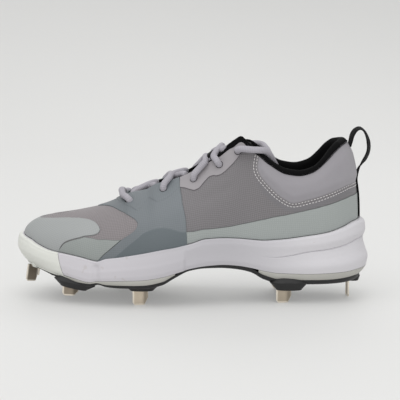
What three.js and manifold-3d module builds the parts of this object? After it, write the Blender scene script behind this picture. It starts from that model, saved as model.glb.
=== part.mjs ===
// Low-cut baseball cleat with metal spikes, left shoe, standing empty on its spikes.
// Millimetres. X runs from the toe to the heel, +Y is the medial side, +Z is up.
import * as THREE from "three";
import Module from "manifold-3d";
import { mergeVertices } from "three/addons/utils/BufferGeometryUtils.js";

const wasm = await Module();
wasm.setup();

// Driving dimensions
const LENGTH = 303; // sole, from the tip of the bumper to the back of the heel
const BALL_WIDTH = 105; // sole across the ball
const HEEL_WIDTH = 79; // sole across the heel
const SPIKE_DROP = 12.5; // from the floor to the seats of the ball and heel spikes
const SOLE_STACK = 45.5; // from those seats to the midsole's lip at the heel
const UPPER_RISE = 80; // from that lip to the highest edge of the collar
const FLARE = 10; // how far the heel's foam stands out beyond the upper
const UPPER_WALL = 2.2; // vamp and quarters
const COLLAR_PAD = 7.5; // wall at the padded collar
const LIP_WALL = 2; // the cup's edge round the upper
const BUMPER_WALL = 2.6; // toe bumper
const TONGUE_WALL = 3.2; // tongue
const TONGUE_GAP = 0.9; // between the tongue and the eyestays over it
const INSOLE_THICK = 4;
const OVERLAY_WALL = 0.8; // bonded layers
const BLADE_WIDTH = 9; // face of a spike
const BLADE_THICK = 1.5;
const BLADE_ROOT = 2.4; // held in the plate's seat
const GAP = 0.3; // between pieces that touch
const TOE_ROUND = 0.2; // share of the length in which the toe's outline rounds in
const HEEL_ROUND = 0.16; // the same at the heel

const LIP_DATUM = SPIKE_DROP + SOLE_STACK;

// A table's rows as objects, and its columns followed smoothly from row to row
function table(names, rows) {
  const keys = names.split(" ");
  return rows.map((row) => Object.fromEntries(keys.map((key, i) => [key, row[i]])));
}

// Turns a share of the length into a station that is evenly spaced round the toe and the heel
const stationOf = (along) => Math.acos(1 - 2 * THREE.MathUtils.clamp(along, 0, 1)) / Math.PI;
const alongOf = (station) => (1 - Math.cos(Math.PI * station)) / 2;

// What crosses the centre line changes sign from one side to the other
const CROSSING = new Set(["out"]);

function mirrored(rows, key) {
  const sign = CROSSING.has(key) ? -1 : 1;
  const knots = rows.map((row) => [stationOf(row.along), row[key]]);
  const before = knots.slice(1, 3).reverse().map(([t, value]) => [-t, sign * value]);
  const after = knots.slice(-3, -1).reverse().map(([t, value]) => [2 - t, sign * value]);
  return [...before, ...knots, ...after];
}

// Slopes that never overshoot: zero where the column turns, a harmonic mean elsewhere
function slopes(knots) {
  const rate = knots.slice(1).map(([t, value], i) => (value - knots[i][1]) / (t - knots[i][0]));
  return knots.map((_, i) => {
    const left = rate[Math.max(i - 1, 0)];
    const right = rate[Math.min(i, rate.length - 1)];
    return left * right > 0 ? (2 * left * right) / (left + right) : 0;
  });
}

const curves = new Map();
function follow(rows, key, station) {
  if (!curves.has(rows)) curves.set(rows, {});
  const kept = curves.get(rows);
  if (!kept[key]) {
    const knots = mirrored(rows, key);
    kept[key] = { knots, slope: slopes(knots) };
  }
  const { knots, slope } = kept[key];
  let i = 0;
  while (i < knots.length - 2 && station > knots[i + 1][0]) i += 1;
  const [t0, v0] = knots[i];
  const [t1, v1] = knots[i + 1];
  const span = t1 - t0;
  const t = THREE.MathUtils.clamp((station - t0) / span, 0, 1);
  const t2 = t * t;
  const t3 = t2 * t;
  return (
    (2 * t3 - 3 * t2 + 1) * v0 +
    (t3 - 2 * t2 + t) * span * slope[i] +
    (3 * t2 - 2 * t3) * v1 +
    (t3 - t2) * span * slope[i + 1]
  );
}

const mix = THREE.MathUtils.lerp;
const smooth = (low, high, value) => THREE.MathUtils.smoothstep(value, low, high);
const bell = (centre, reach, value) => 1 - smooth(0, reach, Math.abs(value - centre));

// Plan of the sole: its centre line in shares of the ball width, its half width in shares of the local width
const OUTLINE = table("along centre half", [
  [0.0, 0.076, 0.345],
  [0.1, 0.055, 0.395],
  [0.2, 0.03, 0.44],
  [0.3, -0.005, 0.481],
  [0.38, -0.033, 0.482],
  [0.5, -0.052, 0.43],
  [0.6, -0.038, 0.421],
  [0.7, -0.018, 0.457],
  [0.82, -0.008, 0.497],
  [0.92, -0.004, 0.492],
  [1.0, 0.0, 0.475],
]);

// Heights of the sole over the spikes' seats, in shares of the sole's stack, and insets in shares of the flare:
// the midsole's lip, the bed inside it, its base, the chassis' underside and the plate's underside
const SOLE = table("along lip bed base rim plate upperIn rimIn plateIn", [
  [0.0, 0.925, 0.57, 0.405, 0.37, 0.335, 0.65, 0.95, 1.35],
  [0.03, 0.87, 0.55, 0.38, 0.35, 0.315, 0.65, 0.85, 1.2],
  [0.06, 0.785, 0.52, 0.35, 0.315, 0.28, 0.65, 0.75, 1.05],
  [0.1, 0.703, 0.48, 0.31, 0.26, 0.21, 0.62, 0.6, 0.85],
  [0.15, 0.657, 0.43, 0.262, 0.185, 0.115, 0.57, 0.42, 0.7],
  [0.19, 0.615, 0.4, 0.2, 0.135, 0.07, 0.5, 0.35, 0.62],
  [0.215, 0.575, 0.39, 0.17, 0.125, 0.065, 0.5, 0.32, 0.6],
  [0.235, 0.554, 0.385, 0.19, 0.15, 0.11, 0.5, 0.3, 0.58],
  [0.26, 0.609, 0.39, 0.205, 0.125, 0.075, 0.5, 0.3, 0.58],
  [0.3, 0.648, 0.407, 0.22, 0.123, 0.062, 0.5, 0.3, 0.6],
  [0.36, 0.721, 0.43, 0.242, 0.135, 0.062, 0.48, 0.28, 0.6],
  [0.42, 0.796, 0.47, 0.302, 0.205, 0.13, 0.46, 0.28, 0.6],
  [0.455, 0.83, 0.5, 0.36, 0.32, 0.25, 0.45, 0.3, 0.6],
  [0.5, 0.897, 0.55, 0.44, 0.44, 0.385, 0.44, 0.32, 0.62],
  [0.54, 0.971, 0.585, 0.475, 0.475, 0.415, 0.42, 0.35, 0.65],
  [0.58, 0.98, 0.61, 0.485, 0.485, 0.41, 0.42, 0.38, 0.68],
  [0.63, 0.96, 0.635, 0.455, 0.455, 0.37, 0.46, 0.38, 0.68],
  [0.665, 0.935, 0.645, 0.41, 0.395, 0.31, 0.5, 0.38, 0.68],
  [0.7, 0.914, 0.652, 0.352, 0.265, 0.175, 0.55, 0.4, 0.7],
  [0.74, 0.93, 0.66, 0.31, 0.188, 0.095, 0.6, 0.42, 0.75],
  [0.82, 1.0, 0.67, 0.301, 0.172, 0.08, 0.65, 0.46, 0.8],
  [0.88, 1.057, 0.68, 0.31, 0.171, 0.08, 0.72, 0.5, 0.85],
  [0.93, 1.143, 0.685, 0.32, 0.18, 0.08, 0.8, 0.55, 0.9],
  [0.97, 1.22, 0.69, 0.345, 0.195, 0.085, 0.9, 0.6, 0.95],
  [1.0, 1.24, 0.69, 0.358, 0.205, 0.09, 0.95, 0.62, 0.98],
]);

// Side of the midsole: how far it stands inside the outline, in shares of the flare, from the lip down to the base
// below its lip
const SIDE = table("level toe fore arch heel", [
  [0.09, 0.12, 0.19, 0.14, 0.3],
  [0.22, 0.03, 0.13, 0.1, 0.24],
  [0.42, 0.0, 0.06, 0.12, 0.44],
  [0.6, 0.14, 0.0, 0.13, 0.27],
  [0.82, 0.45, 0.0, 0.12, 0.0],
  [1.0, 0.82, 0.08, 0.2, 0.12],
]);

// Ribs of the upper, from the lip to the top edge. Top: its place along in shares of the length, its distance
// from the centre line in shares of the ball width, its rise in shares of the upper's. Then the curve between:
// lift and low bulge at the foot, reach, high bulge and drop at the top
const RIBS = table("along topAlong out rise lift low reach high drop", [
  [0.0, 0.139, 0.0, 0.175, 0.5, 0.02, 0.46, 0.0, 0.0],
  [0.06, 0.15, 0.0, 0.184, 0.55, 0.04, 0.48, 0.0, 0.0],
  [0.12, 0.175, 0.0, 0.2, 0.6, 0.06, 0.5, 0.0, 0.0],
  [0.18, 0.208, 0.0, 0.228, 0.6, 0.1, 0.5, 0.0, 0.01],
  [0.235, 0.25, 0.0, 0.27, 0.6, 0.1, 0.5, 0.0, 0.03],
  [0.28, 0.286, 0.0, 0.325, 0.6, 0.1, 0.5, 0.0, 0.05],
  [0.312, 0.312, 0.0, 0.38, 0.6, 0.1, 0.5, 0.0, 0.08],
  [0.32, 0.32, 0.055, 0.392, 0.6, 0.1, 0.5, 0.0, 0.1],
  [0.34, 0.34, 0.095, 0.415, 0.58, 0.1, 0.48, 0.0, 0.13],
  [0.375, 0.375, 0.112, 0.448, 0.56, 0.1, 0.46, 0.0, 0.15],
  [0.4, 0.4, 0.12, 0.505, 0.55, 0.1, 0.45, 0.0, 0.18],
  [0.45, 0.45, 0.135, 0.563, 0.55, 0.12, 0.45, 0.0, 0.22],
  [0.5, 0.5, 0.15, 0.65, 0.5, 0.15, 0.45, 0.0, 0.25],
  [0.54, 0.54, 0.165, 0.735, 0.48, 0.2, 0.45, 0.05, 0.28],
  [0.58, 0.58, 0.185, 0.84, 0.45, 0.22, 0.5, 0.08, 0.3],
  [0.61, 0.61, 0.2, 0.93, 0.42, 0.22, 0.55, 0.08, 0.32],
  [0.635, 0.635, 0.215, 0.962, 0.4, 0.2, 0.6, 0.08, 0.34],
  [0.655, 0.655, 0.24, 0.935, 0.38, 0.18, 0.6, 0.08, 0.35],
  [0.68, 0.68, 0.285, 0.86, 0.36, 0.18, 0.5, 0.1, 0.35],
  [0.71, 0.71, 0.315, 0.762, 0.34, 0.2, 0.4, 0.15, 0.34],
  [0.76, 0.76, 0.326, 0.655, 0.33, 0.25, 0.3, 0.2, 0.33],
  [0.8, 0.795, 0.326, 0.638, 0.33, 0.28, 0.2, 0.25, 0.33],
  [0.845, 0.832, 0.316, 0.672, 0.33, 0.28, 0.2, 0.25, 0.33],
  [0.9, 0.867, 0.29, 0.775, 0.33, 0.2, 0.3, 0.25, 0.32],
  [0.94, 0.892, 0.245, 0.87, 0.33, 0.1, 0.4, 0.25, 0.3],
  [0.97, 0.913, 0.175, 0.93, 0.33, 0.03, 0.45, 0.25, 0.28],
  [1.0, 0.934, 0.0, 0.96, 0.33, 0.0, 0.5, 0.25, 0.26],
]);

// The ridge's distance from the shoe's axis, in shares of the ball width
const RIDGE = table("along shift", [
  [0.0, 0.055],
  [0.2, 0.045],
  [0.32, 0.02],
  [0.5, -0.01],
  [0.7, -0.005],
  [1.0, 0.0],
]);

// Stations along the shoe, in shares of its length
const ARCH_BREAK = 0.475; // where the arch's side steps in
const ARCH_END = 0.67; // where it comes out again
const FLEX_NOTCH = 0.235; // the notch across the sole in front of the ball
const THROAT = 0.312; // the front end of the lacing's opening
const BUMPER_END = 0.1325; // the bumper's rear seam
const SEAM_SLANT = 0.018; // how much further back the seam is at its foot than at its top
const FRONT_CHASSIS_END = 0.455;
const HEEL_CHASSIS_START = 0.685;
const SEAM_STEP = 0.0012;
const SEAM_STATIONS = [BUMPER_END + SEAM_STEP, BUMPER_END + 2 * SEAM_STEP, BUMPER_END + 4 * SEAM_STEP];
const STATIONS = [
  0, 0.004, 0.016, 0.035, 0.06, 0.09, 0.115, BUMPER_END, ...SEAM_STATIONS,
  0.165, 0.195, 0.22, FLEX_NOTCH, 0.25, 0.28, THROAT, 0.32, 0.34, 0.375, 0.41,
  0.435, FRONT_CHASSIS_END, ARCH_BREAK, ARCH_BREAK + 0.012, 0.52, 0.56, 0.6, 0.635, 0.655,
  ARCH_END, HEEL_CHASSIS_START, 0.71, 0.74, 0.775, 0.81, 0.85, 0.885, 0.92, 0.95, 0.975, 0.993, 1,
];
const FACE_STATIONS = STATIONS.filter((along) => !SEAM_STATIONS.includes(along));
const PLAIN_STATIONS = FACE_STATIONS.filter((along, i) => i % 2 === 0 || along > 0.95 || along < 0.05);

// Closed bodies from quads and triangles of points
class Skin {
  constructor() {
    this.corners = [];
  }
  triangle(a, b, c) {
    this.corners.push(a, b, c);
  }
  quad(a, b, c, d) {
    this.triangle(a, b, c);
    this.triangle(a, c, d);
  }
  // Quads between two rows of points, closed round when wrap is set
  band(rowA, rowB, wrap = false) {
    const last = wrap ? rowA.length : rowA.length - 1;
    for (let i = 0; i < last; i += 1) {
      const j = (i + 1) % rowA.length;
      this.quad(rowA[i], rowA[j], rowB[j], rowB[i]);
    }
  }
  geometry() {
    const raw = new THREE.BufferGeometry().setFromPoints(this.corners);
    const merged = mergeVertices(raw, 1e-3);
    const index = merged.getIndex().array;
    const kept = [];
    for (let i = 0; i < index.length; i += 3) {
      const [a, b, c] = [index[i], index[i + 1], index[i + 2]];
      if (a !== b && b !== c && c !== a) kept.push(a, b, c);
    }
    merged.setIndex(kept);
    if (volumeOf(merged) < 0) merged.setIndex(kept.reverse());
    return merged;
  }
}

function volumeOf(geometry) {
  const at = geometry.getAttribute("position");
  const index = geometry.getIndex().array;
  const [a, b, c] = [new THREE.Vector3(), new THREE.Vector3(), new THREE.Vector3()];
  let total = 0;
  for (let i = 0; i < index.length; i += 3) {
    a.fromBufferAttribute(at, index[i]);
    b.fromBufferAttribute(at, index[i + 1]);
    c.fromBufferAttribute(at, index[i + 2]);
    total += a.dot(b.cross(c)) / 6;
  }
  return total;
}

// A closed body through cross-sections, each a lateral and a medial chain of points
function loftPairs(sections) {
  const skin = new Skin();
  const loops = sections.map(({ lateral, medial }) => [...lateral, ...[...medial].reverse()]);
  for (let i = 0; i < loops.length - 1; i += 1) skin.band(loops[i], loops[i + 1], true);
  const [first, last] = [sections[0], sections[sections.length - 1]];
  skin.band(first.medial, first.lateral);
  skin.band(last.lateral, last.medial);
  return skin.geometry();
}

// Solids for joining and cutting
function solidOf(geometry) {
  const bare = new THREE.BufferGeometry();
  bare.setAttribute("position", geometry.getAttribute("position").clone());
  if (geometry.getIndex()) bare.setIndex(geometry.getIndex().clone());
  const merged = mergeVertices(bare, 1e-4);
  return new wasm.Manifold(
    new wasm.Mesh({
      numProp: 3,
      vertProperties: merged.getAttribute("position").array,
      triVerts: Uint32Array.from(merged.getIndex().array),
    }),
  );
}

function geometryOf(solid) {
  const mesh = solid.getMesh();
  const points = new Float32Array(mesh.numVert * 3);
  for (let i = 0; i < mesh.numVert; i += 1) {
    for (let k = 0; k < 3; k += 1) points[3 * i + k] = mesh.vertProperties[mesh.numProp * i + k];
  }
  const geometry = new THREE.BufferGeometry();
  geometry.setAttribute("position", new THREE.BufferAttribute(points, 3));
  geometry.setIndex(new THREE.BufferAttribute(mesh.triVerts, 1));
  return geometry;
}

// Plan outline of the sole. side is -1 on the lateral side and 1 on the medial side
function endRound(along, share, power) {
  const left = Math.max(0, 1 - along / share);
  return Math.pow(1 - Math.pow(left, power), 1 / power);
}

function outlinePoint(station, side) {
  if (station < 0) return outlinePoint(-station, -side);
  if (station > 1) return outlinePoint(2 - station, -side);
  const along = alongOf(station);
  const width = mix(BALL_WIDTH, HEEL_WIDTH, smooth(0.42, 0.75, along));
  const round = endRound(along, TOE_ROUND, 2.3) * endRound(1 - along, HEEL_ROUND, 2.1);
  const half = follow(OUTLINE, "half", station) * width * round;
  return new THREE.Vector3(
    along * LENGTH,
    follow(OUTLINE, "centre", station) * BALL_WIDTH + side * half,
    0,
  );
}

const STEP = 1e-3;
function outwardOf(station, side) {
  const ahead = outlinePoint(station + STEP, side);
  const behind = outlinePoint(station - STEP, side);
  const run = ahead.sub(behind).normalize();
  return side < 0 ? new THREE.Vector3(run.y, -run.x, 0) : new THREE.Vector3(-run.y, run.x, 0);
}

function planPoint(station, side, inset, height) {
  const point = outlinePoint(station, side).addScaledVector(outwardOf(station, side), -inset);
  point.z = height;
  return point;
}

const soleHeight = (key, station) => SPIKE_DROP + SOLE_STACK * follow(SOLE, key, station);
const upperInset = (station) => FLARE * follow(SOLE, "upperIn", station);

// Side of the midsole and the bumper
const inBumper = (along) => along <= BUMPER_END + 1e-9;
const bumperWallAt = (level) => BUMPER_WALL * mix(0.5, 1, smooth(0, 0.3, level));
const lipWallAt = (along) => LIP_WALL * (along < BUMPER_END + 3 * SEAM_STEP ? 0.7 : 1);

function levelInset(zone, level) {
  let i = 0;
  while (i < SIDE.length - 2 && level > SIDE[i + 1].level) i += 1;
  const share = (level - SIDE[i].level) / (SIDE[i + 1].level - SIDE[i].level);
  return mix(SIDE[i][zone], SIDE[i + 1][zone], share);
}

function sideInset(along, level) {
  const toFore = smooth(0.02, 0.17, along);
  const toArch = smooth(ARCH_BREAK, ARCH_BREAK + 0.012, along);
  const toHeel = smooth(ARCH_END + 0.03, 0.95, along);
  let share = mix(levelInset("toe", level), levelInset("fore", level), toFore);
  share = mix(share, levelInset("arch", level), toArch);
  share = mix(share, levelInset("heel", level), toHeel);
  const notch = 0.16 * bell(FLEX_NOTCH, 0.016, along) * smooth(0.05, 0.3, level);
  return FLARE * (share + notch);
}

// Behind the bumper's front face the midsole is cut back to make room for it
function sidePoint(station, side, level, cutBack = 0) {
  const along = alongOf(station);
  const slanted = along + SEAM_SLANT * (level - 0.5) * bell(BUMPER_END, 0.06, along);
  const place = stationOf(slanted);
  const height = mix(soleHeight("lip", place), soleHeight("base", place), level);
  let inset = sideInset(slanted, level);
  if (level === 0) {
    inset = upperInset(place) - GAP - lipWallAt(along);
    if (along < BUMPER_END + 3 * SEAM_STEP) inset -= GAP + bumperWallAt(0);
  }
  return planPoint(place, side, inset + cutBack, height);
}

const LEVELS = [0, ...SIDE.map((row) => row.level)];
const pairs = (stations, chain) =>
  stations.map((along) => {
    const station = stationOf(along);
    return { lateral: chain(station, -1, along), medial: chain(station, 1, along) };
  });
const between = (low, high) => STATIONS.filter((along) => along >= low - 1e-9 && along <= high + 1e-9);

function midsoleGeometry() {
  return loftPairs(
    pairs(STATIONS, (station, side, along) => {
      const behindBumper = smooth(BUMPER_END + 2 * SEAM_STEP, BUMPER_END + 4 * SEAM_STEP, along);
      const cup = upperInset(station) - GAP;
      const bed = soleHeight("bed", station);
      const chain = [
        planPoint(station, side, cup + UPPER_WALL, bed),
        planPoint(station, side, cup, bed + GAP),
        planPoint(station, side, cup, soleHeight("lip", station)),
      ];
      for (const level of LEVELS) {
        const cutBack = (bumperWallAt(level) + GAP) * (1 - behindBumper);
        const point = sidePoint(station, side, level, cutBack);
        if (level === 1) point.z += GAP / 2;
        chain.push(point);
      }
      return chain;
    }),
  );
}

function frontChassisGeometry() {
  return loftPairs(
    pairs(between(0, FRONT_CHASSIS_END), (station, side, along) => {
      const rim = soleHeight("rim", station) + GAP / 2;
      const foot = sidePoint(station, side, 1);
      foot.z -= GAP / 2;
      const outer = [];
      const inner = [];
      for (const level of [...LEVELS].reverse()) {
        const low = level === 1 || !inBumper(along);
        const front = low ? foot : sidePoint(station, side, level);
        const back = inBumper(along) ? sidePoint(station, side, level, bumperWallAt(level)) : foot.clone();
        if (level === 1 && inBumper(along)) back.z -= GAP / 2;
        outer.push(front);
        inner.unshift(back);
      }
      return [planPoint(station, side, FLARE * follow(SOLE, "rimIn", station), rim), ...outer, ...inner];
    }),
  );
}

function heelChassisGeometry() {
  return loftPairs(
    pairs(between(HEEL_CHASSIS_START, 1), (station, side) => {
      const foot = sidePoint(station, side, 1);
      foot.z = soleHeight("base", station) - GAP / 2;
      const rim = soleHeight("rim", station) + GAP / 2;
      return [planPoint(station, side, FLARE * follow(SOLE, "rimIn", station), rim), foot];
    }),
  );
}

const PLATE_TUCK = 0.6; // the plate's upper edge lies this far inside the chassis' lower edge

function plateGeometry() {
  return loftPairs(
    pairs(STATIONS, (station, side) => {
      const top = soleHeight("rim", station) - GAP / 2;
      const bottom = soleHeight("plate", station);
      const rimIn = FLARE * follow(SOLE, "rimIn", station) + PLATE_TUCK;
      const plateIn = FLARE * follow(SOLE, "plateIn", station);
      return [
        planPoint(station, side, rimIn, top),
        planPoint(station, side, mix(rimIn, plateIn, 0.35), mix(top, bottom, 0.7)),
        planPoint(station, side, plateIn, bottom),
      ];
    }),
  );
}

// Spikes: a steel blade with one side turned back, its root held in a slot of its seat. Place in shares of the
// length and of the ball width, turn and lean in degrees, the seat above the lowest seats in shares of the sole's
// stack, the tip above the floor in shares of the spikes' drop. In shares of the blade's width: the side turned
// back, and the boss of the seat, half length and half width; then how much the boss tapers
const SPIKES = table("name along out turn lean seat tip wing long wide taper", [
  ["toe_lateral", 0.052, -0.07, 38, 9, 0.31, 1.12, 0.71, 0.89, 0.61, 0.8],
  ["toe_medial", 0.052, 0.2, 38, 9, 0.31, 1.12, 0.71, 0.89, 0.61, 0.8],
  ["front_lateral", 0.162, -0.29, 8, 4, 0.01, 0.49, 0.71, 1.78, 0.89, 0.6],
  ["front_medial", 0.15, 0.31, 8, 4, 0.01, 0.49, 0.71, 1.78, 0.83, 0.6],
  ["ball_lateral", 0.358, -0.37, 10, 0, 0, 0, 0.71, 1.67, 0.89, 0.66],
  ["ball_medial", 0.305, 0.36, 10, 0, 0, 0, 0.71, 1.67, 0.89, 0.66],
  ["heel_lateral", 0.757, -0.285, 6, 0, -0.03, 0, 0.71, 2, 0.89, 0.62],
  ["heel_medial", 0.757, 0.265, 6, 0, -0.03, 0, 0.71, 2, 0.89, 0.62],
  ["heel_rear", 0.945, 0.0, 90, 0, 0.03, 0, 0.16, 0.78, 0.89, 0.8],
]);
const BOSS_SIDES = 10;
const WING_TURN = Math.PI / 4;
const BEND_AT = BLADE_WIDTH * 0.22; // where the blade's side turns back, from its middle
const BEND_FROM = BEND_AT - BLADE_WIDTH;
const SLOT_BELOW = 6; // how far below its seat a slot is cut

function bladePlan(spike, grow) {
  const t = BLADE_THICK / 2 + grow;
  const reach = BLADE_WIDTH * spike.wing + grow;
  const to = new THREE.Vector2(BEND_AT + reach * Math.cos(WING_TURN), reach * Math.sin(WING_TURN));
  const miter = t * Math.tan(WING_TURN / 2);
  const side = new THREE.Vector2(-Math.sin(WING_TURN), Math.cos(WING_TURN)).multiplyScalar(t);
  return new THREE.Shape([
    new THREE.Vector2(BEND_FROM - grow, -t),
    new THREE.Vector2(BEND_AT + miter, -t),
    to.clone().sub(side),
    to.clone().add(side),
    new THREE.Vector2(BEND_AT - miter, t),
    new THREE.Vector2(BEND_FROM - grow, t),
  ]);
}

const seatHeight = (spike) => SPIKE_DROP + SOLE_STACK * spike.seat;
const bladeDrop = (spike) => seatHeight(spike) - SPIKE_DROP * spike.tip;

// Sets a solid made about the seat at a spike's place, mirrored on the medial side
function placed(geometry, spike, turn) {
  const mirror = spike.out > 0 ? -1 : 1;
  const matrix = new THREE.Matrix4()
    .makeTranslation(spike.along * LENGTH, spike.out * BALL_WIDTH, seatHeight(spike))
    .multiply(new THREE.Matrix4().makeRotationY(THREE.MathUtils.degToRad(spike.lean)))
    .multiply(new THREE.Matrix4().makeScale(1, mirror, 1))
    .multiply(new THREE.Matrix4().makeRotationZ(THREE.MathUtils.degToRad(turn)));
  const moved = geometry.clone().applyMatrix4(matrix);
  if (mirror < 0) flip(moved);
  return moved;
}

function flip(geometry) {
  const index = geometry.getIndex();
  const count = index ? index.count : geometry.getAttribute("position").count;
  const order = Array.from({ length: count }, (_, i) => (index ? index.getX(i) : i));
  geometry.setIndex(order.reverse());
}

// A prism across the blade that trims its lower corner, from (x0, z0) up to (x1, z1)
function cornerCut(x0, z0, x1, z1) {
  const outside = x1 + Math.sign(x1 - x0) * BLADE_WIDTH;
  const shape = new THREE.Shape([
    new THREE.Vector2(x0, z0),
    new THREE.Vector2(x1, z1),
    new THREE.Vector2(outside, z1),
    new THREE.Vector2(outside, z0 - 1),
    new THREE.Vector2(x0, z0 - 1),
  ]);
  const prism = new THREE.ExtrudeGeometry(shape, { depth: 4 * BLADE_WIDTH, bevelEnabled: false });
  prism.translate(0, 0, -2 * BLADE_WIDTH).rotateX(Math.PI / 2);
  return prism;
}

function bladeGeometry(spike) {
  const drop = bladeDrop(spike);
  const depth = drop + BLADE_ROOT;
  const blade = new THREE.ExtrudeGeometry(bladePlan(spike, 0), { depth, bevelEnabled: false });
  blade.translate(0, 0, -drop);
  const wing = BLADE_WIDTH * Math.max(spike.wing, 0.4);
  const wingCut = cornerCut(BEND_AT + 0.2 * wing, -drop, BEND_AT + wing, -drop * 0.55);
  const frontCut = cornerCut(BEND_FROM + 0.2 * BLADE_WIDTH, -drop, BEND_FROM, -drop + 0.25 * BLADE_WIDTH);
  const trimmed = solidOf(blade).subtract(solidOf(wingCut)).subtract(solidOf(frontCut));
  return placed(geometryOf(trimmed), spike, spike.turn);
}

function slotGeometry(spike) {
  const depth = BLADE_ROOT + GAP + SLOT_BELOW;
  const slot = new THREE.ExtrudeGeometry(bladePlan(spike, GAP), { depth, bevelEnabled: false });
  return placed(slot.translate(0, 0, -SLOT_BELOW), spike, spike.turn);
}

// The boss runs up into the sole by its root; grow makes room for it in its neighbour
function bossGeometry(spike, root, grow = 0) {
  const height = soleHeight("plate", stationOf(spike.along)) - seatHeight(spike) + root;
  const boss = new THREE.CylinderGeometry(1, spike.taper, height, BOSS_SIDES);
  boss.rotateX(Math.PI / 2).translate(0, 0, height / 2);
  boss.scale(BLADE_WIDTH * spike.long + grow, BLADE_WIDTH * spike.wide + grow, 1);
  return placed(boss, spike, 0);
}

const isToeSpike = (spike) => spike.name.startsWith("toe");
const TOE_SPIKES = SPIKES.filter(isToeSpike);
const PLATE_SPIKES = SPIKES.filter((spike) => !isToeSpike(spike));
const BOSS_ROOT = 1.6;
const TOE_BOSS_ROOT = 3.2;

// Low ribs across the plate between the spikes: place along, from and to across, height, all in shares
const RIBLETS = table("along from to", [
  [0.105, -0.12, 0.2],
  [0.19, -0.1, 0.14],
  [0.205, -0.1, 0.14],
  [0.29, -0.22, 0.18],
  [0.315, -0.2, 0.16],
  [0.34, -0.18, 0.14],
  [0.365, -0.14, 0.16],
  [0.82, -0.14, 0.14],
  [0.85, -0.12, 0.12],
  [0.88, -0.1, 0.1],
]);
const RIBLET_HEIGHT = 1.6;
const RIBLET_WIDTH = 3;

function ribletGeometry(riblet) {
  const wide = (riblet.to - riblet.from) * BALL_WIDTH;
  const tall = RIBLET_HEIGHT * 2;
  const plate = soleHeight("plate", stationOf(riblet.along));
  return new THREE.BoxGeometry(RIBLET_WIDTH, wide, tall).translate(
    riblet.along * LENGTH,
    ((riblet.to + riblet.from) / 2) * BALL_WIDTH,
    plate + tall / 2 - RIBLET_HEIGHT,
  );
}

function outsoleGeometry() {
  let plate = solidOf(plateGeometry());
  for (const riblet of RIBLETS) plate = plate.add(solidOf(ribletGeometry(riblet)));
  for (const spike of PLATE_SPIKES) {
    plate = plate.add(solidOf(bossGeometry(spike, BOSS_ROOT))).subtract(solidOf(slotGeometry(spike)));
  }
  for (const spike of TOE_SPIKES) {
    plate = plate.subtract(solidOf(bossGeometry(spike, TOE_BOSS_ROOT, GAP)));
    plate = plate.subtract(solidOf(slotGeometry(spike)));
  }
  return geometryOf(plate);
}

// The seats of the toe's spikes belong to the front chassis and pass through the plate
function chassisWithSeats() {
  let chassis = solidOf(frontChassisGeometry());
  for (const spike of TOE_SPIKES) {
    chassis = chassis.add(solidOf(bossGeometry(spike, TOE_BOSS_ROOT))).subtract(solidOf(slotGeometry(spike)));
  }
  return geometryOf(chassis);
}

function insoleGeometry() {
  return loftPairs(
    pairs(PLAIN_STATIONS, (station, side) => {
      const inset = upperInset(station) + UPPER_WALL + 2 * GAP;
      const bed = soleHeight("bed", station) + GAP;
      return [
        planPoint(station, side, inset + INSOLE_THICK * 0.15, bed),
        planPoint(station, side, inset, bed + INSOLE_THICK * 0.4),
        planPoint(station, side, inset + INSOLE_THICK * 0.2, bed + INSOLE_THICK),
      ];
    }),
  );
}

// The upper's outer face: station along the shoe, side, and share up the rib from the lip to the top edge
function ribCurve(station, side) {
  if (station < 0) return ribCurve(-station, -side);
  if (station > 1) return ribCurve(2 - station, -side);
  const rib = (key) => follow(RIBS, key, station);
  const foot = planPoint(station, side, upperInset(station), soleHeight("lip", station));
  const topAlong = rib("topAlong");
  const top = new THREE.Vector3(
    topAlong * LENGTH,
    follow(RIDGE, "shift", stationOf(topAlong)) * BALL_WIDTH + side * rib("out") * BALL_WIDTH,
    LIP_DATUM + UPPER_RISE * rib("rise"),
  );
  const outward = outwardOf(station, side);
  const height = top.z - foot.z;
  const low = foot.clone().addScaledVector(outward, FLARE * rib("low"));
  low.z += rib("lift") * height;
  const high = top.clone().addScaledVector(outward, FLARE * rib("high"));
  high.x += rib("reach") * (foot.x - top.x);
  high.y += rib("reach") * (foot.y - top.y);
  high.z -= rib("drop") * height;
  return new THREE.CubicBezierCurve3(foot, low, high, top);
}

const facePoint = (station, side, up) => ribCurve(station, side).getPoint(THREE.MathUtils.clamp(up, 0, 1));

function rawNormal(station, side, up) {
  const high = Math.min(up + 0.01, 1);
  const low = Math.max(up - 0.01, 0);
  const alongRun = facePoint(station + STEP, side, up).sub(facePoint(station - STEP, side, up));
  const upRun = facePoint(station, side, high).sub(facePoint(station, side, low));
  return alongRun.cross(upRun).multiplyScalar(-side).normalize();
}

const isClosed = (station) => follow(RIBS, "out", station) < 1e-6;

function faceNormal(station, side, up) {
  const normal = rawNormal(station, side, up);
  if (up > 0.999 && isClosed(station)) normal.add(rawNormal(station, -side, up)).normalize();
  return normal;
}

// A point off the upper's outer face by depth, positive outwards
const offFace = (station, side, up, depth) =>
  facePoint(station, side, up).addScaledVector(faceNormal(station, side, up), depth);

const wallAt = (along, up) =>
  mix(UPPER_WALL, COLLAR_PAD, smooth(0.63, 0.72, along) * smooth(0.35, 0.85, up));

const UPS = [0, 0.12, 0.27, 0.43, 0.6, 0.76, 0.9, 1];
const INNER_UPS = [0, 0.27, 0.6, 0.76, 0.9, 1];

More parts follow.
